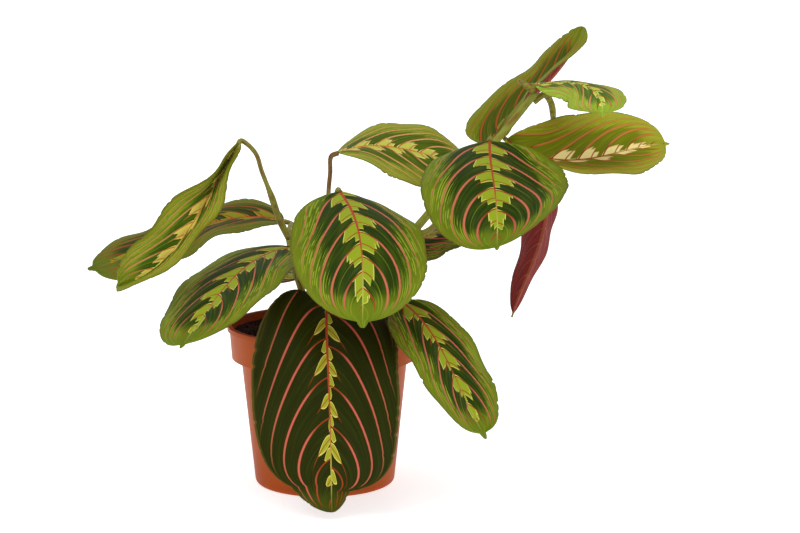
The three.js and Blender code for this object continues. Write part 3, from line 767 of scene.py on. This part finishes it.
def find_fishbone(w, given, at):
    """Finds the lobes or leaflets, their pale edge, and the pale strip along the next vein."""
    start = given["Lobe start"]
    has_bone = w.fade(at.s, start, w.add(start, LOBE["starts"]))
    at.has_bone = w.times(has_bone, w.fall(at.s, *LOBE["ends"]))
    gap = w.blend(given["Leaflets"], lobe_gap(w, given, at), leaflet_gap(w, at))
    gap = w.blend(at.has_bone, LOBE["outside"], gap)
    at.lobe = w.fade(gap, *LOBE["outline"])
    at.pale_edge = w.fall(gap, *LOBE["pale_edge"])
    strip_width = w.times(LOBE["strip"], w.rest(at.along_lobe))
    strip = w.fade(w.less(strip_width, at.before_vein), *LOBE["strip_edge"])
    at.strip = w.times(strip, at.has_bone, w.rest(given["Leaflets"]))


def find_streaks(w, given, at):
    """How much of a streak the point has: fine broken lines beside the veins, out to the margin."""
    lines = w.add(w.times(at.share, STREAK["in_cell"]), w.from_middle(at.broad, STREAK["waver"]))
    line_gap = w.size(w.less(w.fraction(lines), 0.5))
    line_key = w.add(w.whole(lines), w.times(at.key, KEYS["streak"]))
    along_it = w.times(w.times(at.s, given["Length"]), STREAK["dash"])
    place = w.point(w.times(line_key, STREAK["next"]), along_it, given["Seed"])
    dash = w.grain(place, detail=1.0)
    on_line = w.times(w.fall(line_gap, *STREAK["line"]), w.fade(dash, *STREAK["dashes"]))
    ragged = w.add(at.out, w.from_middle(at.broad, STREAK["ragged"]))
    return w.times(on_line, w.fall(ragged, *STREAK["ends"]), w.fade(at.out, *STREAK["starts"]))


def ground_colour(w, given, at):
    """Dark patches with feathered ends between the veins, and the streaked green around them."""
    lane = w.times(at.origin, given["Length"])
    at.fine, hair, at.broad = (
        w.grain(w.point(w.times(lane, along_it), w.times(at.out, across), given["Seed"]), detail)
        for along_it, across, detail in GRAINS.values())
    ragged = w.add(w.from_middle(at.fine, PATCH["fine"]), w.from_middle(hair, PATCH["hair"]))
    end = w.add(given["Dark reach"], ragged, w.from_middle(at.luck, PATCH["luck"]))
    is_dark = w.fall(at.out, w.less(end, PATCH["inside"]), w.add(end, PATCH["outside"]))
    tip = w.fall(w.add(at.s_end, w.times(ragged, PATCH["tip_ragged"])), *PATCH["tip"])
    green = w.tint(w.fade(at.out, *MARGIN["tint"]), given["Green"], given["Margin"])
    green = w.tint(w.times(find_streaks(w, given, at), STREAK["strength"]), green, given["Streak"])
    near_tip = w.times(w.fade(at.s_end, *MARGIN["tip"]), MARGIN["tip_strength"])
    green = w.tint(near_tip, green, given["Margin"])
    paler_dark = w.tint(PATCH["paler"], given["Dark"], given["Green"])
    dark = w.tint(w.fade(at.broad, *PATCH["cloud"]), given["Dark"], paler_dark)
    return w.tint(w.times(is_dark, tip), green, dark)


def add_fine_veins(w, given, at, skin):
    """A short line in each lobe or leaflet, and a long pale one in about half of the cells."""
    from_line = w.times(w.size(w.less(at.share, 0.5)), at.cell)
    strength = w.times(w.fall(at.along_lobe, *FINE_VEIN["ends"]), FINE_VEIN["strength"])
    line = w.times(w.fall(from_line, *FINE_VEIN["line"]), strength)
    from_leaflet_line = w.times(at.leaflet_side, w.over(at.cell, LEAFLET["in_cell"]))
    on_middle = w.times(at.is_middle, w.fall(at.along_leaflet, *LEAFLET["line_ends"]))
    leaflet_line = w.times(w.fall(from_leaflet_line, *LEAFLET["line"]), on_middle)
    line = w.times(w.blend(given["Leaflets"], line, leaflet_line), at.has_bone)
    skin = w.tint(line, skin, given["Inner vein"])
    is_long = w.compute("GREATER_THAN", at.luck, FINE_VEIN["long"])
    is_long = w.times(is_long, w.fall(at.out, *FINE_VEIN["long_ends"]))
    strength = w.times(is_long, FINE_VEIN["long_strength"])
    long_line = w.times(w.fall(from_line, *FINE_VEIN["long_line"]), strength)
    return w.tint(w.times(long_line, w.rest(at.lobe)), skin, given["Streak"])


def add_side_veins(w, given, at, skin):
    """The red veins: thin and dark in the lobes, widest past them, and thinner to the margin."""
    past_lobes = w.fade(w.over(at.x, w.most(given["Lobe reach"], LEAST_SHARE)), *VEIN["past_lobes"])
    near_rib = w.blend(past_lobes, VEIN["near_rib"], 1.0)
    near_margin = w.blend(w.fade(at.out, *VEIN["narrows"]), 1.0, VEIN["at_margin"])
    half_width = w.times(near_rib, near_margin, given["Vein width"])
    end = w.times(w.fall(at.out, *VEIN["ends"]), w.fall(at.s_end, *VEIN["tip"]))
    at.vein_line = w.times(w.stroke(at.from_vein, half_width, VEIN["softness"]), end)
    from_core = w.times(w.fade(w.over(at.from_vein, half_width), *VEIN["core"]), VEIN["edge"])
    red = w.tint(from_core, given["Vein"], given["Inner vein"])
    greener = w.tint(VEIN["margin_tint"], red, given["Margin"])
    outer = w.tint(w.fade(at.out, *VEIN["narrows"]), red, greener)
    return w.tint(at.vein_line, skin, w.tint(past_lobes, given["Inner vein"], outer))


def add_midrib(w, given, at, skin):
    """A red line that gets thinner and pale green towards the tip."""
    half_width = w.blend(w.fade(at.s, *RIB["narrows"]), *RIB["half_width"])
    from_rib = w.times(at.x, w.times(given["Width"], 0.5))
    line = w.stroke(from_rib, half_width, RIB["softness"])
    line = w.times(line, w.rest(w.times(w.fade(at.s, *RIB["ends"]), RIB["end"])))
    pale = w.tint(RIB["green"], given["Lobe edge"], given["Green"])
    return w.tint(line, skin, w.tint(w.fade(at.s, *RIB["pales"]), given["Midrib"], pale))


def leaf_pattern():
    """The herringbone of a prayer leaf as a node group. It reads the blade's two UV maps."""
    tree = bpy.data.node_groups.new("prayer_leaf_pattern", "ShaderNodeTree")
    sockets = [(name, "INPUT", "Float") for name in ("Length", "Width", "Seed", *LEAF_NUMBERS)]
    sockets += [(name, "INPUT", "Color") for name in LEAF_COLOURS]
    sockets += [("Colour", "OUTPUT", "Color"), ("Height", "OUTPUT", "Float")]
    for name, way, kind in sockets:
        tree.interface.new_socket(name, in_out=way, socket_type=f"NodeSocket{kind}")
    w = Wiring(tree)
    given = w.node("NodeGroupInput").outputs
    at = place_on_blade(w)
    find_cell(w, given, at)
    find_fishbone(w, given, at)
    skin = ground_colour(w, given, at)
    skin = w.tint(at.lobe, skin, w.tint(at.pale_edge, given["Lobe"], given["Lobe edge"]))
    skin = w.tint(at.strip, skin, given["Lobe edge"])
    skin = add_fine_veins(w, given, at, skin)
    skin = add_side_veins(w, given, at, skin)
    skin = add_midrib(w, given, at, skin)
    rim = w.times(w.fade(at.out, *MARGIN["rim"]), MARGIN["rim_strength"])
    skin = w.tint(rim, skin, colour(*MARGIN["rim_colour"]))
    height = w.less(w.times(at.fine, RELIEF["grain"]), w.times(at.vein_line, RELIEF["vein"]))
    result = w.node("NodeGroupOutput")
    w.put(result.inputs["Colour"], skin)
    w.put(result.inputs["Height"], height)
    return tree


def blade_top_material(name, leaf, look, seed, pattern):
    """The pattern group with the leaf's own colours and numbers."""
    w = Finish(f"leaf_top_{name}")
    group = w.node("ShaderNodeGroup", node_tree=pattern)
    for key, value in (("Length", leaf["long"]), ("Width", leaf["wide"]), ("Seed", seed)):
        group.inputs[key].default_value = value
    for key in (*LEAF_NUMBERS, *LEAF_COLOURS):
        value = look[key.lower().replace(" ", "_")]
        group.inputs[key].default_value = colour(*value) if key in LEAF_COLOURS else value
    return w.dress(
        group.outputs["Colour"], group.outputs["Height"], distance=0.0004, strength=0.35,
        roughness=bpy.context.scene.plant_leaves.gloss, specular=0.05)


# The numbers of a blade's lower side, as the upper side's, and its colours over the first red.
UNDERSIDE = {
    "spacing": 0.115, "vein": (0.03, 0.09), "vein_ends": (0.7, 0.95), "vein_strength": 0.5,
    "grain_along": 160.0, "grain_across": 2.5, "cloud": (0.35, 0.65), "rib": (0.03, 0.09),
    "rib_strength": 0.5, "margin": (0.86, 0.99), "margin_strength": 0.7, "grain_relief": 0.4,
}
UNDERSIDE_COLOURS = {
    "cloud": (100, 28, 24), "vein": (158, 76, 60), "rib": (172, 100, 70), "margin": (92, 74, 28),
}


def blade_underside_material():
    """Wine red between paler veins, greener towards the margin."""
    w = Finish("leaf_underside")
    tints = {name: colour(*values) for name, values in UNDERSIDE_COLOURS.items()}
    s, across = w.uv("blade")
    out = w.size(w.less(w.times(across, 2.0), 1.0))
    bend = w.times(out, VEIN_SWEEP - VEIN_LEAN)
    origin = w.less(s, w.times(out, w.add(VEIN_LEAN, bend)))
    share = w.fraction(w.add(w.over(origin, UNDERSIDE["spacing"]), FIRST_COUNT))
    vein = w.fall(w.least(share, w.rest(share)), *UNDERSIDE["vein"])
    vein = w.times(vein, w.fall(out, *UNDERSIDE["vein_ends"]))
    lane = w.times(origin, UNDERSIDE["grain_along"])
    fine = w.grain(w.point(lane, w.times(out, UNDERSIDE["grain_across"])), detail=2.0)
    red = tuple(bpy.context.scene.plant_leaves.underside)
    red = w.tint(w.fade(fine, *UNDERSIDE["cloud"]), red, tints["cloud"])
    red = w.tint(w.times(vein, UNDERSIDE["vein_strength"]), red, tints["vein"])
    red = w.tint(w.times(w.fall(out, *UNDERSIDE["rib"]), UNDERSIDE["rib_strength"]), red, tints["rib"])
    near_margin = w.times(w.fade(out, *UNDERSIDE["margin"]), UNDERSIDE["margin_strength"])
    red = w.tint(near_margin, red, tints["margin"])
    relief = w.add(w.times(fine, UNDERSIDE["grain_relief"]), vein)
    return w.dress(red, relief, distance=0.0004, strength=0.5, roughness=0.55, specular=0.03)


# The skins of the stalks and the stems, and the leaves whose stalks have another than the first.
STALK_SKINS = {
    "stalk_skin": {"green": (126, 122, 44), "brown": (108, 70, 30), "brown_share": 0.18},
    "brown_stalk_skin": {"green": (122, 92, 44), "brown": (100, 60, 32), "brown_share": 0.26},
    "young_stalk_skin": {"green": (138, 134, 44), "brown": (104, 68, 26), "brown_share": 0.2},
    "stem_skin": {"green": (136, 142, 48), "brown": (122, 86, 32), "brown_share": 0.14},
}
OTHER_SKINS = {
    "top_young": "young_stalk_skin", "right_hanging": "young_stalk_skin", "top_middle": "brown_stalk_skin",
}
# What they share: where the brown starts and ends, how strong it is, and the pale lines over it, which are
# painted highlights along the skin's fine ridges.
# Blotches and lines are so many along a stalk and around it.
STALK_SKIN = {
    "brown": (0.62, 0.9), "brown_strength": 0.9, "blotches": (14.0, 2.5),
    "lines": (5.0, 22.0), "line": (0.45, 0.7), "highlight_line_strength": 0.3, "highlight_line_colour": (168, 164, 70),
}


def stalk_material(name):
    """A stalk's skin, olive with a browner side and fine ridges along it, whose pale lines are painted
    highlights.
    """
    w = Finish(name)
    own = STALK_SKINS[name]
    along_it, around = w.uv("along")

    def grain(key, detail):
        fine_along, fine_around = STALK_SKIN[key]
        return w.grain(w.point(w.times(along_it, fine_along), w.times(around, fine_around)), detail)

    lines = grain("lines", detail=3.0)
    start, end = (edge - own["brown_share"] for edge in STALK_SKIN["brown"])
    brownness = w.fade(grain("blotches", detail=2.0), start, end)
    brownness = w.times(brownness, STALK_SKIN["brown_strength"])
    skin = w.tint(brownness, colour(*own["green"]), colour(*own["brown"]))
    # The pale lines along the ridges are a painted highlight.
    on_line = w.times(w.fade(lines, *STALK_SKIN["line"]), STALK_SKIN["highlight_line_strength"])
    skin = w.tint(on_line, skin, colour(*STALK_SKIN["highlight_line_colour"]))
    return w.dress(skin, lines, distance=0.0005, strength=0.4, roughness=0.5, specular=0.2)


def pot_material():
    """Moulded terracotta-coloured plastic, slightly uneven."""
    w = Finish("pot_plastic")
    place = w.node("ShaderNodeTexCoord").outputs["Object"]
    cloud = w.fade(w.grain(place, detail=3.0, scale=30.0), start=0.3, end=0.75)
    paler = colour(172, 82, 38)
    plastic = w.tint(cloud, tuple(bpy.context.scene.plant_pot.colour), paler)
    grainy = w.grain(place, detail=2.0, scale=2600.0)
    return w.dress(plastic, grainy, distance=0.0001, strength=0.15, roughness=0.42, specular=0.04)


def soil_material():
    """Dark peat with browner grains."""
    w = Finish("potting_mix")
    crumbs = w.grain(w.node("ShaderNodeTexCoord").outputs["Object"], detail=4.0, scale=420.0)
    peat, bark = colour(24, 15, 14), colour(62, 42, 32)
    soil = w.tint(w.fade(crumbs, start=0.35, end=0.7), peat, bark)
    return w.dress(soil, crumbs, distance=0.001, strength=0.8, roughness=0.95, specular=0.2)


# Settings

class PlantLeafSettings(bpy.types.PropertyGroup):
    rows: bpy.props.IntProperty(name="Rows", description="Fields along a blade", default=112, min=8)
    columns: bpy.props.IntProperty(name="Columns", description="Fields across a blade", default=56, min=4)
    thickness: bpy.props.FloatProperty(
        name="Thickness", description="How thick a blade is", default=0.0005, unit="LENGTH")
    quilt: bpy.props.FloatProperty(
        name="Quilting", description="How far a blade bulges between its side veins",
        default=0.0006, unit="LENGTH")
    nicks: bpy.props.FloatProperty(
        name="Nicks", description="How deep the nicks in a blade's margin are",
        default=0.0012, unit="LENGTH")
    gloss: bpy.props.FloatProperty(
        name="Roughness", description="Roughness of the blades' upper side", default=0.42, min=0, max=1)
    underside: bpy.props.FloatVectorProperty(
        name="Underside", description="Colour of the blades' lower side", subtype="COLOR", size=4,
        min=0, max=1, default=colour(132, 44, 38))


class PlantStalkSettings(bpy.types.PropertyGroup):
    sides: bpy.props.IntProperty(name="Sides", description="Faces around a stalk", default=20, min=6)
    steps: bpy.props.IntProperty(name="Steps", description="Lengths along a stalk", default=60, min=8)


class PlantPotSettings(bpy.types.PropertyGroup):
    segments: bpy.props.IntProperty(name="Segments", description="Faces around the pot", default=128, min=24)
    colour: bpy.props.FloatVectorProperty(
        name="Colour", description="Colour of the pot's plastic", subtype="COLOR", size=4,
        min=0, max=1, default=colour(162, 73, 25))


class PlantSoilSettings(bpy.types.PropertyGroup):
    segments: bpy.props.IntProperty(name="Segments", description="Faces around the soil", default=180, min=24)
    rings: bpy.props.IntProperty(name="Rings", description="Rings on top of the soil", default=60, min=4)
    crumbs: bpy.props.IntProperty(name="Crumbs", description="Loose crumbs on the soil", default=320, min=0)
    roughness: bpy.props.FloatProperty(
        name="Relief", description="Height of the soil's fine relief", default=0.0016, unit="LENGTH")


class PlantStageSettings(bpy.types.PropertyGroup):
    light: bpy.props.FloatProperty(name="Light", description="Strength of the soft key light", default=1.5)
    surround: bpy.props.FloatProperty(
        name="Surround", description="Strength of the light from all round", default=0.62)
    floor_glow: bpy.props.FloatProperty(
        name="Floor Glow", description="How brightly the floor is lit from below", default=0.62, min=0)
    lens: bpy.props.FloatProperty(name="Lens", description="Focal length in millimetres", default=103.5)


# Operators

# A blade's bulge between two veins is a sine to this power, and rises and falls between these
# shares of the half width. The groove along the midrib is this much deeper than a bulge is high.
QUILT = {
    "roundness": 0.7, "starts": (0, 0.25), "ends": (0.75, 1), "groove_depth": 1.2, "groove": (0, 0.06),
}
# Noise nicks the margin, with a finer one over it, and only what rises above the level cuts in.
# The spacing is per millimetre, and each side has its own noise. Where a blade is narrower than
# the least half width, its nicks are shallower too, and they reach this far in.
NICK = {
    "spacing": 0.35, "left_side": 9, "fine": 3, "fine_depth": 0.4, "level": 0.12,
    "least_half_width": 4, "reach": (0.7, 1),
}


class PLANT_OT_blades(bpy.types.Operator):
    """Add the fourteen patterned leaf blades"""
    bl_idname = "plant.blades"
    bl_label = "Leaf Blades"

    def execute(self, context):
        pattern = leaf_pattern()
        underside = blade_underside_material()
        for number, (name, leaf) in enumerate(LEAVES.items()):
            look = {**GREEN_LEAF, **LEAF_LOOKS[name]}
            piece = self.blade(context.scene.plant_leaves, name, leaf, look)
            top = blade_top_material(name, leaf, look, FIRST_SEED + SEED_STEP * number, pattern)
            place_piece(piece, f"blade_{name}", [top, underside])
        return {"FINISHED"}

    def blade(self, settings, name, leaf, look):
        bm = bmesh.new()
        blade_uv = bm.loops.layers.uv.new("blade")
        breadth_uv = bm.loops.layers.uv.new("breadth")
        bmesh.ops.create_grid(bm, x_segments=settings.columns, y_segments=settings.rows, size=1)
        places = {}
        for vert in bm.verts:
            s = (1 - math.cos(math.pi * (vert.co.y + 1) / 2)) / 2
            t = -math.sin(math.pi / 2 * vert.co.x)
            places[vert] = (s, t, half_width(leaf, s, t) / (leaf["wide"] / 2))
        for face in bm.faces:
            face.smooth = True
            for loop in face.loops:
                s, t, breadth = places[loop.vert]
                loop[blade_uv].uv = (s, (t + 1) / 2)
                loop[breadth_uv].uv = (breadth, 0)
        rib = midrib_points(leaf)
        for vert, (s, t, breadth) in places.items():
            lift = settings.quilt / MM * self.quilt(s, t, breadth, look)
            shrink = settings.nicks / MM * self.nick(leaf, s, t)
            vert.co = blade_point(leaf, rib, s, t * (1 - shrink), lift)
        piece = make_piece(f"leaf_{name}", bm)
        shell = piece.modifiers.new("Thickness", "SOLIDIFY")
        shell.thickness = settings.thickness
        shell.offset = 0
        shell.material_offset = 1
        return piece

    def quilt(self, s, t, breadth, look):
        """How high the blade bulges here, as a share of the quilting."""
        share = vein_phase(s, t, breadth, look) % 1
        bulge = math.sin(math.pi * share) ** QUILT["roundness"]
        bulge *= smoothstep(abs(t), *QUILT["starts"]) * (1 - smoothstep(abs(t), *QUILT["ends"]))
        groove = QUILT["groove_depth"] * (1 - smoothstep(abs(t) * breadth, *QUILT["groove"]))
        return bulge - groove * math.sin(math.pi * s)

    def nick(self, leaf, s, t):
        """How far the margin is drawn in, as a share of the half width for each millimetre of depth.
        The noise seldom passes a half, so it counts twice."""
        seed = leaf["long"] + leaf["wide"]
        spot = Vector((s * leaf["long"] * NICK["spacing"], NICK["left_side"] * (t > 0), seed))
        rough = noise.noise(spot) + NICK["fine_depth"] * noise.noise(spot * NICK["fine"])
        depth = max(rough - NICK["level"], 0) / max(half_width(leaf, s, t), NICK["least_half_width"])
        return 2 * depth * smoothstep(abs(t), *NICK["reach"])


class PLANT_OT_petioles(bpy.types.Operator):
    """Add the leaf stalks, each with its sheath and the joint below its blade"""
    bl_idname = "plant.petioles"
    bl_label = "Leaf Stalks"

    def execute(self, context):
        settings = context.scene.plant_stalks
        names = ("stalk_skin", "brown_stalk_skin", "young_stalk_skin")
        skins = {name: stalk_material(name) for name in names}
        for name, leaf in LEAVES.items():

            def radius_at(share):
                fade = smoothstep(share, leaf["sheath"], leaf["sheath"] + SHEATH_FADE)
                stalk = lerp(SHEATH_RADIUS, STALK_RADIUS, fade)
                return lerp(stalk, JOINT_RADIUS, smoothstep(share, JOINT_START, JOINT_FULL))

            line = stalk_line(leaf, settings.steps)
            piece = tube(f"stalk_{name}", line, radius_at, settings.sides)
            skin = skins[OTHER_SKINS.get(name, "stalk_skin")]
            place_piece(piece, f"petiole_{name}", [skin])
        return {"FINISHED"}


class PLANT_OT_stems(bpy.types.Operator):
    """Add the three stems that carry the leaves"""
    bl_idname = "plant.stems"
    bl_label = "Stems"

    def execute(self, context):
        settings = context.scene.plant_stalks
        skin = stalk_material("stem_skin")
        for name, stem in STEMS.items():

            def radius_at(share):
                return lerp(*stem["radius"], share)

            line = stem_line(stem, 2 * settings.steps)
            piece = tube(f"stem_{name}", line, radius_at, settings.sides)
            place_piece(piece, f"stem_{name}", [skin])
        return {"FINISHED"}


def spin_profile(profile, segments):
    """A body turned about the upright axis from a profile of radius and height."""
    bm = bmesh.new()
    verts = [bm.verts.new((radius, 0, height)) for radius, height in profile]
    edges = [bm.edges.new(pair) for pair in zip(verts, verts[1:])]
    bmesh.ops.spin(
        bm, geom=verts + edges, axis=(0, 0, 1), cent=(0, 0, 0), steps=segments,
        angle=2 * math.pi, use_merge=True)
    bmesh.ops.remove_doubles(bm, verts=bm.verts, dist=MERGE)
    bmesh.ops.recalc_face_normals(bm, faces=bm.faces)
    return bm


class PLANT_OT_pot(bpy.types.Operator):
    """Add the nursery pot with its lip, collar and drainage holes"""
    bl_idname = "plant.pot"
    bl_label = "Pot"

    def execute(self, context):
        height, wall = POT["height"], POT["wall"]
        base_radius, heel_radius = POT["base_radius"], POT["heel_radius"]
        shoulder_radius, collar_radius = POT["shoulder_radius"], POT["collar_foot_radius"]
        pad_radius, slope, recess = POT_BASE["pad_radius"], POT_BASE["slope"], POT_BASE["recess"]
        collar_foot = height - POT["collar_height"]
        shelf = collar_foot + wall
        lip_foot = height - POT["lip_drop"]
        collar_top = POT["rim_radius"] - POT["lip_overhang"]
        floor_top = recess + POT["floor"]
        foot = base_radius - heel_radius
        ring_inside = foot - POT_BASE["ring_width"]
        turns = [math.radians(turn) for turn in range(HEEL_TURN, 90, HEEL_TURN)]
        heel = [(foot + heel_radius * math.sin(turn), heel_radius * (1 - math.cos(turn))) for turn in turns]
        outside = [
            (0, 0), (pad_radius, 0), (pad_radius + slope, recess), (ring_inside - slope, recess),
            (ring_inside, 0), (foot, 0), *heel, (base_radius, heel_radius),
            (shoulder_radius, collar_foot), (collar_radius, collar_foot), (collar_top, lip_foot),
            (POT["rim_radius"], lip_foot), (POT["rim_radius"], height),
        ]
        inside = [
            (collar_top - wall, height), (collar_radius - wall, shelf), (shoulder_radius - wall, shelf),
            (base_radius - wall, heel_radius + floor_top), (foot, floor_top), (0, floor_top),
        ]
        bm = spin_profile(outside + inside, context.scene.plant_pot.segments)
        piece = make_piece("nursery_pot", bm)
        self.drain(context, piece, floor_top)
        soften = piece.modifiers.new("Softened edges", "BEVEL")
        soften.width = EDGE["width"]
        soften.segments = EDGE["segments"]
        soften.limit_method = "ANGLE"
        soften.angle_limit = math.radians(EDGE["sharper_than"])
        for face in piece.data.polygons:
            face.use_smooth = True
        place_piece(piece, "pot", [pot_material()])
        return {"FINISHED"}

    def drain(self, context, pot, floor_top):
        """Cuts the drainage holes with one set of upright pins."""
        bm = bmesh.new()
        for hole in range(POT_BASE["holes"]):
            turn = 2 * math.pi * (hole + 0.5) / POT_BASE["holes"]
            centre = Vector((math.cos(turn), math.sin(turn), 0)) * POT_BASE["hole_circle"]
            centre.z = floor_top / 2
            bmesh.ops.create_cone(
                bm, cap_ends=True, segments=PIN["sides"], radius1=POT_BASE["hole_radius"],
                radius2=POT_BASE["hole_radius"], depth=floor_top + PIN["past_floor"],
                matrix=Matrix.Translation(centre))
        pins = make_piece("drain_pins", bm)
        cut = pot.modifiers.new("Drainage", "BOOLEAN")
        cut.operation = "DIFFERENCE"
        cut.object = pins
        context.view_layer.update()
        drained = bpy.data.meshes.new_from_object(pot.evaluated_get(context.evaluated_depsgraph_get()))
        pot.modifiers.clear()
        pot.data = drained
        bpy.data.objects.remove(pins)


class PLANT_OT_soil(bpy.types.Operator):
    """Fill the pot with crumbly potting mix"""
    bl_idname = "plant.soil"
    bl_label = "Potting Mix"

    def execute(self, context):
        settings = context.scene.plant_soil
        low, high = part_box("soil")
        bottom = low.z / MM
        rim = high.x / MM
        collar_foot = POT["height"] - POT["collar_height"]
        shelf = collar_foot + POT["wall"] + CLEARANCE
        heel_top = POT["heel_radius"] + POT_BASE["recess"] + POT["floor"]
        inside = POT["wall"] + CLEARANCE
        profile = [
            (0, bottom), (POT["base_radius"] - POT["heel_radius"] - CLEARANCE, bottom),
            (POT["base_radius"] - inside, heel_top + CLEARANCE), (POT["shoulder_radius"] - inside, shelf),
            (POT["collar_foot_radius"] - inside, shelf), (rim, SOIL_LEVEL - SOIL_EDGE["drop"]),
        ]
        for ring in range(settings.rings, -1, -1):
            profile.append(((rim - SOIL_EDGE["width"]) * ring / settings.rings, SOIL_LEVEL))
        bm = spin_profile(profile, settings.segments)
        for vert in bm.verts:
            if vert.co.z > SOIL_LEVEL - SOIL_EDGE["drop"] / 2:
                vert.co.z += settings.roughness / MM * self.relief(vert.co, rim)
        self.scatter(bm, settings.crumbs, rim - SOIL_EDGE["calm"])
        for face in bm.faces:
            face.smooth = True
        place_piece(make_piece("soil_surface", bm), "soil", [soil_material()])
        return {"FINISHED"}

    def relief(self, spot, rim):
        """Coarse lumps and finer grains, lower at the pot's wall."""
        coarse, fine, finest = (noise.noise(spot * closeness) for closeness in SOIL_GRAINS)
        height = coarse + SOIL_RELIEF["fine"] * (fine + SOIL_RELIEF["finest"] * finest)
        inward = 1 - smoothstep(spot.xy.length, rim - SOIL_EDGE["calm"], rim)
        return height * lerp(SOIL_RELIEF["at_wall"], 1, inward)

    def scatter(self, bm, count, radius):
        """Crumbs of bark and peat, half sunk into the surface."""
        draw = random.Random(CRUMB["seed"])
        level = SOIL_LEVEL + CRUMB["rise"]
        for _ in range(count):
            turn = draw.uniform(0, 2 * math.pi)
            out = radius * math.sqrt(draw.random())
            size = draw.uniform(*CRUMB["size"])
            place = Matrix.Translation((out * math.cos(turn), out * math.sin(turn), level))
            turned = Matrix.Rotation(draw.uniform(0, CRUMB["turn"]), 4, (draw.random(), draw.random(), 1))
            flat = Matrix.Diagonal(
                (size, size * draw.uniform(*CRUMB["width"]), size * draw.uniform(*CRUMB["height"]), 1))
            bmesh.ops.create_icosphere(bm, subdivisions=1, radius=1, matrix=place @ turned @ flat)


# The photo's camera: its place and its sensor's width in millimetres, how many degrees it looks
# down, and how far it sees in metres.
CAMERA = {"place": (47, -1400, 375), "down": 9.7, "sensor_width": 36, "sees": 100}
# Each light's share of the light, its tilt and turn, and how wide it is, in degrees.
LIGHTS = {
    "key_light": {"share": 0.7, "tilt": 32, "turn": -28, "spread": 40},
    "fill_light": {"share": 0.3, "tilt": 55, "turn": 35, "spread": 60},
}
WHITE = (1, 1, 1, 1)
# How far the floor reaches from its middle in metres.
FLOOR_REACH = 30
FLOOR_PAPER = {
    "Base Color": (0.82, 0.9, 0.9, 1), "Roughness": 0.9, "Specular IOR Level": 0.0,
    "Emission Color": WHITE,
}


class PLANT_OT_stage(bpy.types.Operator):
    """Add the pale floor, the soft light and the camera at the photo's angle"""
    bl_idname = "plant.stage"
    bl_label = "Stage"

    def execute(self, context):
        settings = context.scene.plant_stage
        self.floor(settings)
        self.lights(context, settings)
        camera = bpy.data.cameras.new("photo_camera")
        camera.lens = settings.lens
        camera.sensor_width = CAMERA["sensor_width"]
        camera.clip_end = CAMERA["sees"]
        holder = add_object("photo_camera", camera)
        holder.location = Vector(CAMERA["place"]) * MM
        holder.rotation_euler = (math.radians(90 - CAMERA["down"]), 0, 0)
        context.scene.camera = holder
        context.scene.view_settings.view_transform = "Standard"
        return {"FINISHED"}

    def floor(self, settings):
        bm = bmesh.new()
        bmesh.ops.create_grid(bm, x_segments=1, y_segments=1, size=FLOOR_REACH / MM)
        piece = make_piece("floor", bm)
        paper = Finish("floor_paper").material
        inputs = paper.node_tree.nodes["Principled BSDF"].inputs
        for key, value in FLOOR_PAPER.items():
            inputs[key].default_value = value
        inputs["Emission Strength"].default_value = settings.floor_glow
        piece.data.materials.append(paper)

    def lights(self, context, settings):
        world = bpy.data.worlds.new("studio")
        world.use_nodes = True
        back = world.node_tree.nodes["Background"]
        back.inputs["Color"].default_value = WHITE
        back.inputs["Strength"].default_value = settings.surround
        context.scene.world = world
        for name, light in LIGHTS.items():
            lamp = bpy.data.lights.new(name, "SUN")
            lamp.energy = settings.light * light["share"]
            lamp.angle = math.radians(light["spread"])
            holder = add_object(name, lamp)
            holder.rotation_euler = (math.radians(light["tilt"]), 0, math.radians(light["turn"]))


class PLANT_PT_sidebar(bpy.types.Panel):
    """Lists the plant's pieces"""
    bl_idname = "PLANT_PT_sidebar"
    bl_label = "Prayer Plant"
    bl_space_type = "VIEW_3D"
    bl_region_type = "UI"
    bl_category = "Plant"

    def draw(self, context):
        for name, operators in (
                ("plant_pot", ["plant.pot"]), ("plant_soil", ["plant.soil"]),
                ("plant_stalks", ["plant.stems", "plant.petioles"]), ("plant_leaves", ["plant.blades"]),
                ("plant_stage", ["plant.stage"])):
            settings = getattr(context.scene, name)
            column = self.layout.column(align=True)
            for key in settings.bl_rna.properties.keys():
                if key not in ("rna_type", "name"):
                    column.prop(settings, key)
            for operator in operators:
                column.operator(operator)


SETTINGS = {
    "plant_leaves": PlantLeafSettings, "plant_stalks": PlantStalkSettings,
    "plant_pot": PlantPotSettings, "plant_soil": PlantSoilSettings,
    "plant_stage": PlantStageSettings,
}
CLASSES = [
    *SETTINGS.values(), PLANT_OT_pot, PLANT_OT_soil, PLANT_OT_stems, PLANT_OT_petioles,
    PLANT_OT_blades, PLANT_OT_stage, PLANT_PT_sidebar,
]


def register():
    for kind in CLASSES:
        bpy.utils.register_class(kind)
    for name, kind in SETTINGS.items():
        setattr(bpy.types.Scene, name, bpy.props.PointerProperty(type=kind))


def unregister():
    for name in SETTINGS:
        delattr(bpy.types.Scene, name)
    for kind in reversed(CLASSES):
        bpy.utils.unregister_class(kind)


def main():
    register()
    bpy.ops.plant.pot()
    bpy.ops.plant.soil()
    bpy.ops.plant.stems()
    bpy.ops.plant.petioles()
    bpy.ops.plant.blades()
    bpy.ops.plant.stage()


if __name__ == "__main__":
    main()
